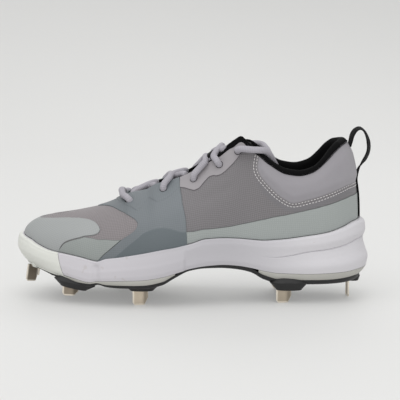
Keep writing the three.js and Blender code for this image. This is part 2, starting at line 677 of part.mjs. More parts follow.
function upperColumn(along, side) {
  const station = stationOf(along);
  const bed = soleHeight("bed", station) + GAP;
  const inset = upperInset(station);
  const points = [planPoint(station, side, inset, bed)];
  for (const up of UPS) points.push(offFace(station, side, up, 0));
  const wall = wallAt(along, 1);
  const crown = faceNormal(station, side, 1).multiplyScalar(-wall / 2);
  const rise = facePoint(station, side, 1).sub(facePoint(station, side, 0.97)).normalize();
  const roll = facePoint(station, side, 1).add(crown);
  if (!isClosed(station)) roll.addScaledVector(rise, wall * 0.42);
  points.push(roll);
  for (const up of [...INNER_UPS].reverse()) points.push(offFace(station, side, up, -wallAt(along, up)));
  points.push(planPoint(station, side, inset + UPPER_WALL, bed));
  return points;
}

function upperGeometry() {
  const skin = new Skin();
  const top = UPS.length; // index of the outer point on the top edge
  for (const side of [-1, 1]) {
    const columns = FACE_STATIONS.map((along) => upperColumn(along, side));
    for (let i = 0; i < columns.length - 1; i += 1) {
      const closed = FACE_STATIONS[i + 1] <= THROAT + 1e-9;
      const [a, b] = side < 0 ? [columns[i], columns[i + 1]] : [columns[i + 1], columns[i]];
      for (let j = 0; j < a.length; j += 1) {
        const k = (j + 1) % a.length;
        if (closed && (j === top || j === top + 1)) continue;
        skin.quad(a[j], a[k], b[k], b[j]);
      }
    }
  }
  return skin.geometry();
}

// The tongue: under the eyestays it lies inside the upper, and between them it arches across the throat
const TONGUE_START = 0.28;
const TONGUE_END = 0.655;
const TONGUE_SIDE = [0.6, 0.76, 0.9, 1];
const TONGUE_CROWN = 0.04; // how strongly it arches, as a share of the throat's width
const ACROSS = [0.22, 0.5, 0.78];

function tongueWing(along, side, depth) {
  const inside = (up) => -(wallAt(along, up) + TONGUE_GAP + depth);
  return TONGUE_SIDE.map((up) => offFace(stationOf(along), side, up, inside(up)));
}

function tongueBridge(along, depth) {
  const [from, to] = [-1, 1].map((side) => tongueWing(along, side, depth).pop());
  const span = from.distanceTo(to);
  const handle = (side, edge) => {
    const station = stationOf(along);
    const run = facePoint(station, side, 1).sub(facePoint(station, side, 0.95)).normalize();
    return edge.clone().addScaledVector(run, span * TONGUE_CROWN);
  };
  return new THREE.CubicBezierCurve3(from, handle(-1, from), handle(1, to), to);
}

function tongueChain(along, depth) {
  const across = ACROSS.map((share) => tongueBridge(along, depth).getPoint(share));
  return [...tongueWing(along, -1, depth), ...across, ...tongueWing(along, 1, depth).reverse()];
}

function tongueGeometry() {
  const stations = between(TONGUE_START, TONGUE_END);
  return loftPairs(
    stations.map((along) => ({ lateral: tongueChain(along, 0), medial: tongueChain(along, TONGUE_WALL) })),
  );
}

// A point over the tongue: share of the way across from the lateral side, and height above it
function overTongue(along, share, height) {
  const point = tongueBridge(along, 0).getPoint(share);
  const across = tongueBridge(along, 0).getTangent(share);
  const ahead = tongueBridge(along + 0.01, 0).getPoint(share);
  const run = ahead.sub(tongueBridge(along - 0.01, 0).getPoint(share));
  return point.addScaledVector(run.cross(across).normalize(), height);
}

// Layers bonded on the upper's outer face. A sheet is a grid of places on one side of the face, each a share of
// the length and a share up the rib, with how far the layer is stepped out there. Its two sides join at the
// toe, at the heel and along the ridge in front of the throat
const OPEN_EDGE = 0.985; // a layer's end just below the throat's edge
const LAYER_STEP = 0.5; // a layer's step where another lies under it
const onRidge = ([along, up]) => up > 0.999 && along <= THROAT + 1e-9;

// Where a value lies among a list's steps: the step's two ends and the share between them
function within(list, value) {
  let i = 0;
  while (i < list.length - 2 && value > list[i + 1]) i += 1;
  return [list[i], list[i + 1], THREE.MathUtils.clamp((value - list[i]) / (list[i + 1] - list[i]), 0, 1)];
}

// A point off the upper's own facets, each cell of which is cut in two from corner to corner
function offFacet(along, side, up, depth) {
  const [a0, a1, s] = within(FACE_STATIONS, along);
  const [u0, u1, t] = within(UPS, up);
  const corner = (a, u) => offFace(stationOf(a), side, u, depth);
  const [near, far, other] =
    side < 0
      ? [corner(a0, u0), corner(a1, u1), s >= t ? corner(a1, u0) : corner(a0, u1)]
      : [corner(a1, u0), corner(a0, u1), s + t <= 1 ? corner(a0, u0) : corner(a1, u1)];
  const [p, q] = side < 0 ? [Math.min(s, t), Math.abs(s - t)] : [s + t <= 1 ? t : 1 - s, Math.abs(1 - s - t)];
  return near.multiplyScalar(1 - p - q).addScaledVector(far, p).addScaledVector(other, q);
}

function layerGeometry(sheet, sides = [-1, 1]) {
  const skin = new Skin();
  const [rows, columns] = [sheet.length, sheet[0].length];
  for (const side of sides) {
    const at = (i, j, depth) => {
      const [along, up, step = 0] = sheet[i][j];
      return offFacet(along, side, up, depth + step);
    };
    const outer = sheet.map((row, i) => row.map((_, j) => at(i, j, GAP + OVERLAY_WALL)));
    const inner = sheet.map((row, i) => row.map((place, j) => at(i, j, GAP - (place[2] ?? 0))));
    const quad = (a, b, c, d) => (side < 0 ? skin.quad(a, b, c, d) : skin.quad(d, c, b, a));
    const wall = (i0, j0, i1, j1) => {
      const ends = [sheet[i0][j0], sheet[i1][j1]];
      const atToe = ends.every(([along]) => along <= 0);
      const atHeel = ends.every(([along]) => along >= 1);
      const joined = ends.every(onRidge) || atToe || atHeel;
      if (!joined || sides.length < 2) quad(outer[i1][j1], outer[i0][j0], inner[i0][j0], inner[i1][j1]);
    };
    for (let i = 0; i < rows - 1; i += 1) {
      for (let j = 0; j < columns - 1; j += 1) {
        quad(outer[i][j], outer[i][j + 1], outer[i + 1][j + 1], outer[i + 1][j]);
        quad(inner[i][j], inner[i + 1][j], inner[i + 1][j + 1], inner[i][j + 1]);
      }
      wall(i + 1, 0, i, 0);
      wall(i, columns - 1, i + 1, columns - 1);
    }
    for (let j = 0; j < columns - 1; j += 1) {
      wall(0, j, 0, j + 1);
      wall(rows - 1, j + 1, rows - 1, j);
    }
  }
  return skin.geometry();
}

// A table's column read straight between its rows
function read(rows, by, key, value) {
  let i = 0;
  while (i < rows.length - 2 && value > rows[i + 1][by]) i += 1;
  const share = THREE.MathUtils.clamp((value - rows[i][by]) / (rows[i + 1][by] - rows[i][by]), 0, 1);
  return mix(rows[i][key], rows[i + 1][key], share);
}

// A sheet between a low and a high border that run along the shoe. Its columns and rows fall on the upper's own
// wherever they can, so that their facets lie alike
function strip(rows) {
  const [first, last] = [rows[0].along, rows[rows.length - 1].along];
  const inner = (along) => along > first + 0.003 && along < last - 0.003;
  const shared = FACE_STATIONS.filter((along) => along === first || along === last || inner(along));
  const apart = (along) => shared.every((other) => Math.abs(other - along) > 0.006);
  const own = rows.map((row) => row.along).filter(apart);
  const ends = [first, last].filter((along) => !shared.includes(along) && !own.includes(along));
  const columns = [...shared, ...own, ...ends].sort((a, b) => a - b);
  const lowest = Math.min(...rows.map((row) => row.low));
  const highest = Math.max(...rows.map((row) => row.high));
  const levels = [0, ...UPS.filter((up) => up > lowest && up < highest), 1];
  return levels.map((level) =>
    columns.map((along) => {
      const [low, high] = ["low", "high"].map((key) => read(rows, "along", key, along));
      return [along, THREE.MathUtils.clamp(level, low, high)];
    }),
  );
}

const TOE_LAYER = table("along low high", [
  [0.0, 0.015, 0.55],
  [0.016, 0.015, 0.58],
  [0.035, 0.015, 0.61],
  [0.06, 0.015, 0.64],
  [0.09, 0.015, 0.658],
  [0.12, 0.015, 0.655],
  [0.137, 0.155, 0.645],
  [0.15, 0.2, 0.64],
  [0.166, 0.235, 0.63],
  [0.183, 0.265, 0.61],
  [0.199, 0.295, 0.587],
  [0.22, 0.313, 0.53],
  [0.235, 0.34, 0.45],
  [0.2405, 0.375, 0.395],
]);

const FRONT_RAND = table("along low high", [
  [0.125, 0.015, 0.03],
  [0.137, 0.015, 0.14],
  [0.15, 0.015, 0.186],
  [0.166, 0.015, 0.222],
  [0.183, 0.015, 0.252],
  [0.199, 0.015, 0.28],
  [0.22, 0.015, 0.277],
  [0.235, 0.015, 0.263],
  [0.25, 0.058, 0.245],
  [0.265, 0.09, 0.225],
  [0.284, 0.155, 0.2],
  [0.298, 0.18, 0.187],
]);

const REAR_RAND = table("along low high", [
  [0.4925, 0.015, 0.135],
  [0.52, 0.015, 0.118],
  [0.56, 0.015, 0.111],
  [0.595, 0.015, 0.12],
  [0.63, 0.015, 0.151],
  [0.66, 0.015, 0.201],
  [0.7, 0.015, 0.303],
  [0.74, 0.015, 0.398],
  [0.77, 0.015, 0.452],
  [0.8, 0.015, 0.489],
  [0.83, 0.015, 0.5],
  [0.86, 0.015, 0.495],
  [0.895, 0.015, 0.458],
  [0.93, 0.015, 0.411],
  [0.965, 0.015, 0.36],
  [0.993, 0.015, 0.343],
  [1.0, 0.015, 0.343],
]);

const EYESTAY = table("along low high", [
  [0.472, 0.775, OPEN_EDGE],
  [0.482, 0.75, OPEN_EDGE],
  [0.497, 0.695, OPEN_EDGE],
  [0.51, 0.657, OPEN_EDGE],
  [0.52, 0.662, OPEN_EDGE],
  [0.538, 0.73, OPEN_EDGE],
  [0.55, 0.768, OPEN_EDGE],
  [0.56, 0.76, OPEN_EDGE],
  [0.575, 0.727, OPEN_EDGE],
  [0.592, 0.735, OPEN_EDGE],
  [0.606, 0.765, OPEN_EDGE],
  [0.622, 0.82, OPEN_EDGE],
  [0.637, 0.875, OPEN_EDGE],
  [0.647, 0.915, OPEN_EDGE],
]);

// The midfoot film's front and rear borders on the way up the rib, and where the layers under it end
const FILM = table("up front rear", [
  [0.015, 0.24, 0.4895],
  [0.075, 0.267, 0.4885],
  [0.12, 0.282, 0.488],
  [0.187, 0.306, 0.487],
  [0.245, 0.332, 0.486],
  [0.32, 0.348, 0.484],
  [0.43, 0.342, 0.4795],
  [0.54, 0.314, 0.475],
  [0.66, 0.288, 0.472],
  [0.76, 0.268, 0.469],
  [0.86, 0.25, 0.4675],
  [0.92, 0.235, 0.467],
  [1.0, 0.212, 0.4665],
]);
const RAND_UNDER = table("along edge", [
  [0.298, 0.187],
  [0.34, 0.2],
  [0.37, 0.236],
  [0.41, 0.255],
  [0.45, 0.225],
  [0.49, 0.155],
]);
const EYESTAY_UNDER = table("along edge", [
  [0.29, 0.86],
  [0.315, 0.68],
  [0.345, 0.585],
  [0.366, 0.62],
  [0.378, 0.74],
  [0.39, 0.735],
  [0.405, 0.63],
  [0.422, 0.6],
  [0.436, 0.63],
  [0.449, 0.71],
  [0.469, 0.79],
]);
const FILM_EDGES = [0.35, 0.52]; // rows of its own, besides the upper's

function filmSheet() {
  const columns = FACE_STATIONS.filter((along) => along > 0.215 && along < 0.485);
  const ups = [0.015, ...UPS.slice(1), ...FILM_EDGES].sort((a, b) => a - b);
  return ups.map((up) =>
    [0, ...columns, 1].map((column) => {
      const [front, rear] = ["front", "rear"].map((key) => read(FILM, "up", key, up));
      const along = THREE.MathUtils.clamp(column, front, rear);
      const overRand = smooth(-0.01, 0.02, read(RAND_UNDER, "along", "edge", along) - up);
      const overStay = smooth(-0.02, 0.03, up - read(EYESTAY_UNDER, "along", "edge", along));
      const topUp = along > THROAT + 1e-9 ? Math.min(up, OPEN_EDGE) : up;
      return [along, topUp, LAYER_STEP * Math.max(overRand * smooth(0.25, 0.3, along), overStay)];
    }),
  );
}

// A tape along a path, with its width along across
function tapeGeometry(path, across, thick) {
  const skin = new Skin();
  const sections = path.map((point, i) => {
    const run = path[Math.min(i + 1, path.length - 1)].clone().sub(path[Math.max(i - 1, 0)]);
    const out = run.cross(across).normalize().multiplyScalar(thick / 2);
    return [
      point.clone().add(across).add(out),
      point.clone().sub(across).add(out),
      point.clone().sub(across).sub(out),
      point.clone().add(across).sub(out),
    ];
  });
  for (let i = 0; i < sections.length - 1; i += 1) skin.band(sections[i], sections[i + 1], true);
  skin.quad(...[...sections[0]].reverse());
  skin.quad(...sections[sections.length - 1]);
  return skin.geometry();
}

// Pull loop: a tape sewn to the heel, up over the top edge and back down to the midsole. Its path on the
// centre line, in shares of the length and of the upper's rise, then down the heel's face by shares of the rib
const LOOP_WIDTH = 10;
const LOOP_THICK = 1.4;
const LOOP = table("along rise", [
  [0.9435, 0.9],
  [0.9475, 0.96],
  [0.952, 1.025],
  [0.961, 1.075],
  [0.9725, 1.094],
  [0.983, 1.072],
  [0.9925, 1.012],
  [0.9985, 0.92],
  [0.9975, 0.845],
  [0.99, 0.775],
  [0.9785, 0.71],
  [0.9705, 0.66],
]);
const STRAP_UPS = [0.48, 0.4, 0.3, 0.2, 0.1, 0.015];

function loopGeometry() {
  const centre = follow(RIDGE, "shift", 1) * BALL_WIDTH;
  const free = LOOP.map(
    ({ along, rise }) => new THREE.Vector3(along * LENGTH, centre, LIP_DATUM + UPPER_RISE * rise),
  );
  const onLayer = (up) => (up < 0.4 ? OVERLAY_WALL + GAP : 0.5 * OVERLAY_WALL);
  const sewn = STRAP_UPS.map((up) => offFace(1, -1, up, GAP + LOOP_THICK / 2 + onLayer(up)));
  return tapeGeometry([...free, ...sewn], new THREE.Vector3(0, LOOP_WIDTH / 2, 0), LOOP_THICK);
}

// Laces. The eyelets' places on both sides of the face
const LACE = 5.6;
const LACE_SIDES = 6;
const EYELETS = table("along up", [
  [0.323, 0.79],
  [0.422, 0.83],
  [0.506, 0.845],
  [0.577, 0.868],
  [0.628, 0.9],
]);
const LAYERS_TOP = GAP + OVERLAY_WALL + LAYER_STEP; // the highest that the layers stand off the face
const LACE_LIFT = LAYERS_TOP + GAP + 0.58 * LACE; // the lace's middle over them

function tubeGeometry(points, diameter, sides, steps) {
  const ring = Array.from({ length: sides }, (_, i) => {
    const turn = (2 * Math.PI * i) / sides;
    return new THREE.Vector2(Math.cos(turn), Math.sin(turn)).multiplyScalar(diameter / 2);
  });
  const extrudePath = new THREE.CatmullRomCurve3(points, false, "centripetal");
  return new THREE.ExtrudeGeometry(new THREE.Shape(ring), { steps, extrudePath, bevelEnabled: false });
}

const lacePoint = (along, side, up, height) => offFace(stationOf(along), side, up, height);

// Out of an eyelet, over the throat's edge, across the tongue and in beside the far edge, where it goes under
function strandPoints(from, to, side, over, hidden) {
  const far = side < 0 ? 0.78 : 0.22;
  const low = GAP + 0.52 * LACE;
  const middle = mix(from.along, to.along, hidden ? 0.55 : 0.32);
  const start = hidden
    ? [overTongue(from.along + 0.012, 1 - far, low)]
    : [
        lacePoint(from.along, side, from.up - 0.03, LACE_LIFT),
        lacePoint(from.along + 0.004, side, mix(from.up, 1, 0.5), LACE_LIFT),
        lacePoint(from.along + 0.012, side, 1, LACE_LIFT),
      ];
  return [...start, overTongue(middle, 0.5, low + over), overTongue(to.along - 0.03, far, low)];
}

function crossingGeometry(k) {
  const [from, to] = [EYELETS[k], EYELETS[k + 1]];
  const hidden = k === 0;
  const steps = hidden ? 4 : 7;
  const strand = (side) => {
    const over = side < 0 ? 0.4 * LACE : 0;
    return solidOf(tubeGeometry(strandPoints(from, to, side, over, hidden), LACE, LACE_SIDES, steps));
  };
  return geometryOf(strand(-1).add(strand(1)));
}

// The first strand lies in front of the throat from eyelet to eyelet
function barGeometry() {
  const { along, up } = EYELETS[0];
  const half = (side) => [
    lacePoint(along + 0.006, side, up - 0.03, LACE_LIFT),
    lacePoint(along - 0.006, side, up + 0.04, LACE_LIFT),
    lacePoint(along - 0.018, side, mix(up, 1, 0.6), LACE_LIFT + 0.2 * LACE),
  ];
  const middle = lacePoint(along - 0.023, -1, 1, LACE_LIFT + 0.35 * LACE);
  return tubeGeometry([...half(-1), middle, ...half(1).reverse()], LACE, LACE_SIDES, 10);
}

// The free ends go from the top eyelets over the collar into the shoe
const END_SIDES = 8;
const LATERAL_END = table("x y z", [
  [189.6, -29.4, 130],
  [192.4, -31.2, 130.8],
  [197, -32.6, 130.6],
  [202.1, -33.1, 130.2],
  [207.6, -32.1, 129.9],
  [212.5, -28.7, 128.7],
  [216.3, -24.6, 125.1],
  [219.2, -20.5, 120.2],
  [222, -16, 115],
  [224.4, -12.5, 108.5],
  [226.5, -9.5, 101],
  [228.5, -7, 93],
]);
const MEDIAL_END = table("x y z", [
  [189.6, 27.6, 129.6],
  [192.4, 30.2, 130.4],
  [196.6, 32.4, 130.2],
  [202, 33.1, 129],
  [207.6, 32.3, 129.4],
  [212.4, 28, 128.9],
  [216, 21.3, 126],
  [218.4, 14, 121.8],
  [220.8, 6.5, 117.5],
  [221.8, 1, 111.5],
  [221, -2, 103.5],
  [219.6, -3.6, 94],
]);
const endGeometry = (rows) =>
  tubeGeometry(rows.map(({ x, y, z }) => new THREE.Vector3(x, y, z)), LACE, END_SIDES, 12);

// A short tape on the tongue that keeps the lace in place
const KEEPER = table("share height", [
  [0.36, 1],
  [0.37, 3.4],
  [0.42, 5],
  [0.5, 5.3],
  [0.58, 5],
  [0.63, 3.4],
  [0.64, 1],
]);
const KEEPER_AT = 0.5585;
const KEEPER_WIDTH = 7;
const KEEPER_THICK = 1.3;

function keeperGeometry() {
  const path = KEEPER.map(({ share, height }) => overTongue(KEEPER_AT, share, GAP + height));
  const run = overTongue(KEEPER_AT + 0.01, 0.5, 0).sub(overTongue(KEEPER_AT - 0.01, 0.5, 0));
  return tapeGeometry(path, run.normalize().multiplyScalar(KEEPER_WIDTH / 2), KEEPER_THICK);
}

// The whole shoe
const shoe = new THREE.Group();

function add(name, geometry, color, roughness = 0.8, metalness = 0) {
  const mesh = new THREE.Mesh(geometry, new THREE.MeshStandardMaterial({ color, roughness, metalness }));
  mesh.name = name;
  shoe.add(mesh);
}

add("midsole", midsoleGeometry(), 0xcdcbd0);
add("chassis_front", chassisWithSeats(), 0xd2d3c9);
add("chassis_heel", heelChassisGeometry(), 0xa5a5a0);
add("outsole_plate", outsoleGeometry(), 0x1c1c1c);
for (const spike of SPIKES) add("spike_" + spike.name, bladeGeometry(spike), 0xbeb4a5, 0.35, 1);
add("insole", insoleGeometry(), 0x242424);
add("upper", upperGeometry(), 0x8a888b);
add("tongue", tongueGeometry(), 0x1d1d1e);
add("toe_overlay", layerGeometry(strip(TOE_LAYER)), 0x9ea1a1);
add("front_rand_lateral", layerGeometry(strip(FRONT_RAND), [-1]), 0x98a09b);
add("front_rand_medial", layerGeometry(strip(FRONT_RAND), [1]), 0x98a09b);
add("rear_rand", layerGeometry(strip(REAR_RAND)), 0x98a09b);
add("midfoot_film", layerGeometry(filmSheet()), 0x7a8587);
add("eyestay_lateral", layerGeometry(strip(EYESTAY), [-1]), 0xa19da1);
add("eyestay_medial", layerGeometry(strip(EYESTAY), [1]), 0xa19da1);
add("pull_loop", loopGeometry(), 0x141414);
add("lace_keeper", keeperGeometry(), 0x141414);
add("lace_bar", barGeometry(), 0xaaa8b2);
for (let k = 0; k < EYELETS.length - 1; k += 1) add("lace_cross_" + (k + 1), crossingGeometry(k), 0xaaa8b2);

// The origin is under the middle of the shoe, on the floor, measured without the free lace ends
const bounds = new THREE.Box3().setFromObject(shoe);
const middle = bounds.getCenter(new THREE.Vector3());
shoe.position.set(-middle.x, -middle.y, 0);

add("lace_end_lateral", endGeometry(LATERAL_END), 0xaaa8b2);
add("lace_end_medial", endGeometry(MEDIAL_END), 0xaaa8b2);

export default shoe;
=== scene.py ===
import math

import bmesh
import bpy
import numpy as np
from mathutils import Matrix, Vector


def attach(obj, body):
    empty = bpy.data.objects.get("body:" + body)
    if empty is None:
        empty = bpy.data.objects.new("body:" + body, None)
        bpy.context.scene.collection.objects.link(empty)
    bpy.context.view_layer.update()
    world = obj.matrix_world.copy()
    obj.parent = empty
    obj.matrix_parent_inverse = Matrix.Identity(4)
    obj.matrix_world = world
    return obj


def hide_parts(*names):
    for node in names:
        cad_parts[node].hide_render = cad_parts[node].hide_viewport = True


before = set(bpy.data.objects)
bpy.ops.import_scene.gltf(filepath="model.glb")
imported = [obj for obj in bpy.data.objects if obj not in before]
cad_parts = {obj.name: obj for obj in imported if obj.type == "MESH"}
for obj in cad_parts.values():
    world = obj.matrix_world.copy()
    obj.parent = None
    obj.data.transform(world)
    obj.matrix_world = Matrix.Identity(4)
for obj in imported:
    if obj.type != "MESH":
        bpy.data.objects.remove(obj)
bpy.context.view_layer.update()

# Sizes in millimetres, and places along the shoe as shares of its length
LENGTH = 303.0
BALL_WIDTH = 105.0
HEEL_WIDTH = 79.0
SPIKE_DROP = 12.5
SOLE_STACK = 45.5
UPPER_RISE = 80.0
FLARE = 10.0
UPPER_WALL = 2.2
COLLAR_PAD = 7.5
LIP_WALL = 2.0
BUMPER_WALL = 2.6
TONGUE_WALL = 3.2
TONGUE_GAP = 0.9
INSOLE_THICK = 4.0
GAP = 0.3
TOE_ROUND = 0.2
HEEL_ROUND = 0.16
LIP_DATUM = SPIKE_DROP + SOLE_STACK
ARCH_BREAK = 0.475
ARCH_END = 0.67
FLEX_NOTCH = 0.235
THROAT = 0.312
BUMPER_END = 0.1325
SEAM_SLANT = 0.018
SEAM_STEP = 0.0012
FRONT_CHASSIS_END = 0.455
HEEL_CHASSIS_START = 0.685
PLATE_TUCK = 0.6


def table(names, rows):
    """The rows' columns by name."""
    return dict(zip(names.split(), map(list, zip(*rows))))


def station_of(along):
    return np.arccos(1 - 2 * np.clip(along, 0, 1)) / math.pi


def along_of(station):
    return (1 - np.cos(math.pi * np.asarray(station, float))) / 2


def smooth(low, high, value):
    t = np.clip((np.asarray(value, float) - low) / (high - low), 0, 1)
    return t * t * (3 - 2 * t)


def bell(centre, reach, value):
    return 1 - smooth(0, reach, np.abs(value - centre))


def mix(a, b, t):
    return a + (b - a) * t


def hermite(t, v, s):
    """A smooth line through values v at places t, without overshoot, read at places s."""
    t, v = np.array(t, float), np.array(v, float)
    rate = np.diff(v) / np.diff(t)
    left, right = np.concatenate([rate[:1], rate]), np.concatenate([rate, rate[-1:]])
    total = np.where(np.abs(left + right) < 1e-12, 1, left + right)
    slope = np.where(left * right > 0, 2 * left * right / total, 0)
    i = np.clip(np.searchsorted(t, s, side="left") - 1, 0, len(t) - 2)
    span = t[i + 1] - t[i]
    u = np.clip((s - t[i]) / span, 0, 1)
    rise = 3 * u**2 - 2 * u**3
    bend = (u**3 - 2 * u**2 + u) * slope[i] + (u**3 - u**2) * slope[i + 1]
    return (1 - rise) * v[i] + rise * v[i + 1] + span * bend


def follow(rows, key, station):
    """A table's column along the shoe, carried past both ends onto the other side."""
    t, v = station_of(np.array(rows["along"])), rows[key]
    sign = -1 if key == "out" else 1
    t = [-t[2], -t[1], *t, 2 - t[-2], 2 - t[-3]]
    v = [sign * v[2], sign * v[1], *v, sign * v[-2], sign * v[-3]]
    return hermite(t, v, np.asarray(station, float))


def curve(rows, by, key, value):
    """A table's column read smoothly between its rows."""
    return hermite(rows[by], rows[key], np.clip(value, rows[by][0], rows[by][-1]))


OUTLINE = {
    "along": [0, 0.1, 0.2, 0.3, 0.38, 0.5, 0.6, 0.7, 0.82, 0.92, 1],
    "centre": [0.076, 0.055, 0.03, -0.005, -0.033, -0.052, -0.038, -0.018, -0.008, -0.004, 0],
    "half": [0.345, 0.395, 0.44, 0.481, 0.482, 0.43, 0.421, 0.457, 0.497, 0.492, 0.475],
}

SOLE = table("along lip bed base rim plate upperIn rimIn plateIn", [
    [0, 0.925, 0.57, 0.405, 0.37, 0.335, 0.65, 0.95, 1.35],
    [0.03, 0.87, 0.55, 0.38, 0.35, 0.315, 0.65, 0.85, 1.2],
    [0.06, 0.785, 0.52, 0.35, 0.315, 0.28, 0.65, 0.75, 1.05],
    [0.1, 0.703, 0.48, 0.31, 0.26, 0.21, 0.62, 0.6, 0.85],
    [0.15, 0.657, 0.43, 0.262, 0.185, 0.115, 0.57, 0.42, 0.7],
    [0.19, 0.615, 0.4, 0.2, 0.135, 0.07, 0.5, 0.35, 0.62],
    [0.215, 0.575, 0.39, 0.17, 0.125, 0.065, 0.5, 0.32, 0.6],
    [0.235, 0.554, 0.385, 0.19, 0.15, 0.11, 0.5, 0.3, 0.58],
    [0.26, 0.609, 0.39, 0.205, 0.125, 0.075, 0.5, 0.3, 0.58],
    [0.3, 0.648, 0.407, 0.22, 0.123, 0.062, 0.5, 0.3, 0.6],
    [0.36, 0.721, 0.43, 0.242, 0.135, 0.062, 0.48, 0.28, 0.6],
    [0.42, 0.796, 0.47, 0.302, 0.205, 0.13, 0.46, 0.28, 0.6],
    [0.455, 0.83, 0.5, 0.36, 0.32, 0.25, 0.45, 0.3, 0.6],
    [0.5, 0.897, 0.55, 0.44, 0.44, 0.385, 0.44, 0.32, 0.62],
    [0.54, 0.971, 0.585, 0.475, 0.475, 0.415, 0.42, 0.35, 0.65],
    [0.58, 0.98, 0.61, 0.485, 0.485, 0.41, 0.42, 0.38, 0.68],
    [0.63, 0.96, 0.635, 0.455, 0.455, 0.37, 0.46, 0.38, 0.68],
    [0.665, 0.935, 0.645, 0.41, 0.395, 0.31, 0.5, 0.38, 0.68],
    [0.7, 0.914, 0.652, 0.352, 0.265, 0.175, 0.55, 0.4, 0.7],
    [0.74, 0.93, 0.66, 0.31, 0.188, 0.095, 0.6, 0.42, 0.75],
    [0.82, 1, 0.67, 0.301, 0.172, 0.08, 0.65, 0.46, 0.8],
    [0.88, 1.057, 0.68, 0.31, 0.171, 0.08, 0.72, 0.5, 0.85],
    [0.93, 1.143, 0.685, 0.32, 0.18, 0.08, 0.8, 0.55, 0.9],
    [0.97, 1.22, 0.69, 0.345, 0.195, 0.085, 0.9, 0.6, 0.95],
    [1, 1.24, 0.69, 0.358, 0.205, 0.09, 0.95, 0.62, 0.98],
])

SIDE = table("level toe fore arch heel", [
    [0.09, 0.12, 0.19, 0.14, 0.3], [0.22, 0.03, 0.13, 0.1, 0.24], [0.42, 0, 0.06, 0.12, 0.44],
    [0.6, 0.14, 0, 0.13, 0.27], [0.82, 0.45, 0, 0.12, 0], [1, 0.82, 0.08, 0.2, 0.12],
])

RIBS = table("along topAlong out rise lift low reach high drop", [
    [0, 0.139, 0, 0.175, 0.5, 0.02, 0.46, 0, 0], [0.06, 0.15, 0, 0.184, 0.55, 0.04, 0.48, 0, 0],
    [0.12, 0.175, 0, 0.2, 0.6, 0.06, 0.5, 0, 0], [0.18, 0.208, 0, 0.228, 0.6, 0.1, 0.5, 0, 0.01],
    [0.235, 0.25, 0, 0.27, 0.6, 0.1, 0.5, 0, 0.03], [0.28, 0.286, 0, 0.325, 0.6, 0.1, 0.5, 0, 0.05],
    [0.312, 0.312, 0, 0.38, 0.6, 0.1, 0.5, 0, 0.08], [0.32, 0.32, 0.055, 0.392, 0.6, 0.1, 0.5, 0, 0.1],
    [0.34, 0.34, 0.095, 0.415, 0.58, 0.1, 0.48, 0, 0.13],
    [0.375, 0.375, 0.112, 0.448, 0.56, 0.1, 0.46, 0, 0.15],
    [0.4, 0.4, 0.12, 0.505, 0.55, 0.1, 0.45, 0, 0.18],
    [0.45, 0.45, 0.135, 0.563, 0.55, 0.12, 0.45, 0, 0.22],
    [0.5, 0.5, 0.15, 0.65, 0.5, 0.15, 0.45, 0, 0.25],
    [0.54, 0.54, 0.165, 0.735, 0.48, 0.2, 0.45, 0.05, 0.28],
    [0.58, 0.58, 0.185, 0.84, 0.45, 0.22, 0.5, 0.08, 0.3],
    [0.61, 0.61, 0.2, 0.93, 0.42, 0.22, 0.55, 0.08, 0.32],
    [0.635, 0.635, 0.215, 0.962, 0.4, 0.2, 0.6, 0.08, 0.34],
    [0.655, 0.655, 0.24, 0.935, 0.38, 0.18, 0.6, 0.08, 0.35],
    [0.68, 0.68, 0.285, 0.86, 0.36, 0.18, 0.5, 0.1, 0.35],
    [0.71, 0.71, 0.315, 0.762, 0.34, 0.2, 0.4, 0.15, 0.34],
    [0.76, 0.76, 0.326, 0.655, 0.33, 0.25, 0.3, 0.2, 0.33],
    [0.8, 0.795, 0.326, 0.638, 0.33, 0.28, 0.2, 0.25, 0.33],
    [0.845, 0.832, 0.316, 0.672, 0.33, 0.28, 0.2, 0.25, 0.33],
    [0.9, 0.867, 0.29, 0.775, 0.33, 0.2, 0.3, 0.25, 0.32],
    [0.94, 0.892, 0.245, 0.87, 0.33, 0.1, 0.4, 0.25, 0.3],
    [0.97, 0.913, 0.175, 0.93, 0.33, 0.03, 0.45, 0.25, 0.28],
    [1, 0.934, 0, 0.96, 0.33, 0, 0.5, 0.25, 0.26],
])

RIDGE = {
    "along": [0, 0.2, 0.32, 0.5, 0.7, 1],
    "shift": [0.055, 0.045, 0.02, -0.01, -0.005, 0],
}


def end_round(along, share, power):
    left = np.maximum(0, 1 - along / share)
    return (1 - left**power) ** (1 / power)


def folded(station, side):
    """Stations past an end of the shoe, taken back along its other side."""
    station = np.asarray(station, float)
    side = np.where((station < 0) | (station > 1), -side, side)
    return np.where(station < 0, -station, np.where(station > 1, 2 - station, station)), side


def outline_point(station, side):
    """Plan outline of the sole at stations, side -1 lateral and 1 medial."""
    station, side = folded(station, side)
    along = along_of(station)
    width = mix(BALL_WIDTH, HEEL_WIDTH, smooth(0.42, 0.75, along))
    roundness = end_round(along, TOE_ROUND, 2.3) * end_round(1 - along, HEEL_ROUND, 2.1)
    half = follow(OUTLINE, "half", station) * width * roundness
    y = follow(OUTLINE, "centre", station) * BALL_WIDTH + side * half
    return np.stack([along * LENGTH, y, np.zeros_like(y)], -1)


STEP = 1e-3


def unit(vectors):
    return vectors / np.linalg.norm(vectors, axis=-1, keepdims=True)


def outward_of(station, side):
    run = unit(outline_point(station + STEP, side) - outline_point(station - STEP, side))
    turn = np.where(np.asarray(side) < 0, 1.0, -1.0)
    return np.stack([turn * run[..., 1], -turn * run[..., 0], np.zeros_like(run[..., 0])], -1)


def plan_point(station, side, inset, height):
    point = outline_point(station, side) - outward_of(station, side) * np.asarray(inset)[..., None]
    point[..., 2] = height
    return point


def sole_height(key, station):
    return SPIKE_DROP + SOLE_STACK * follow(SOLE, key, station)


def upper_inset(station):
    return FLARE * follow(SOLE, "upperIn", station)


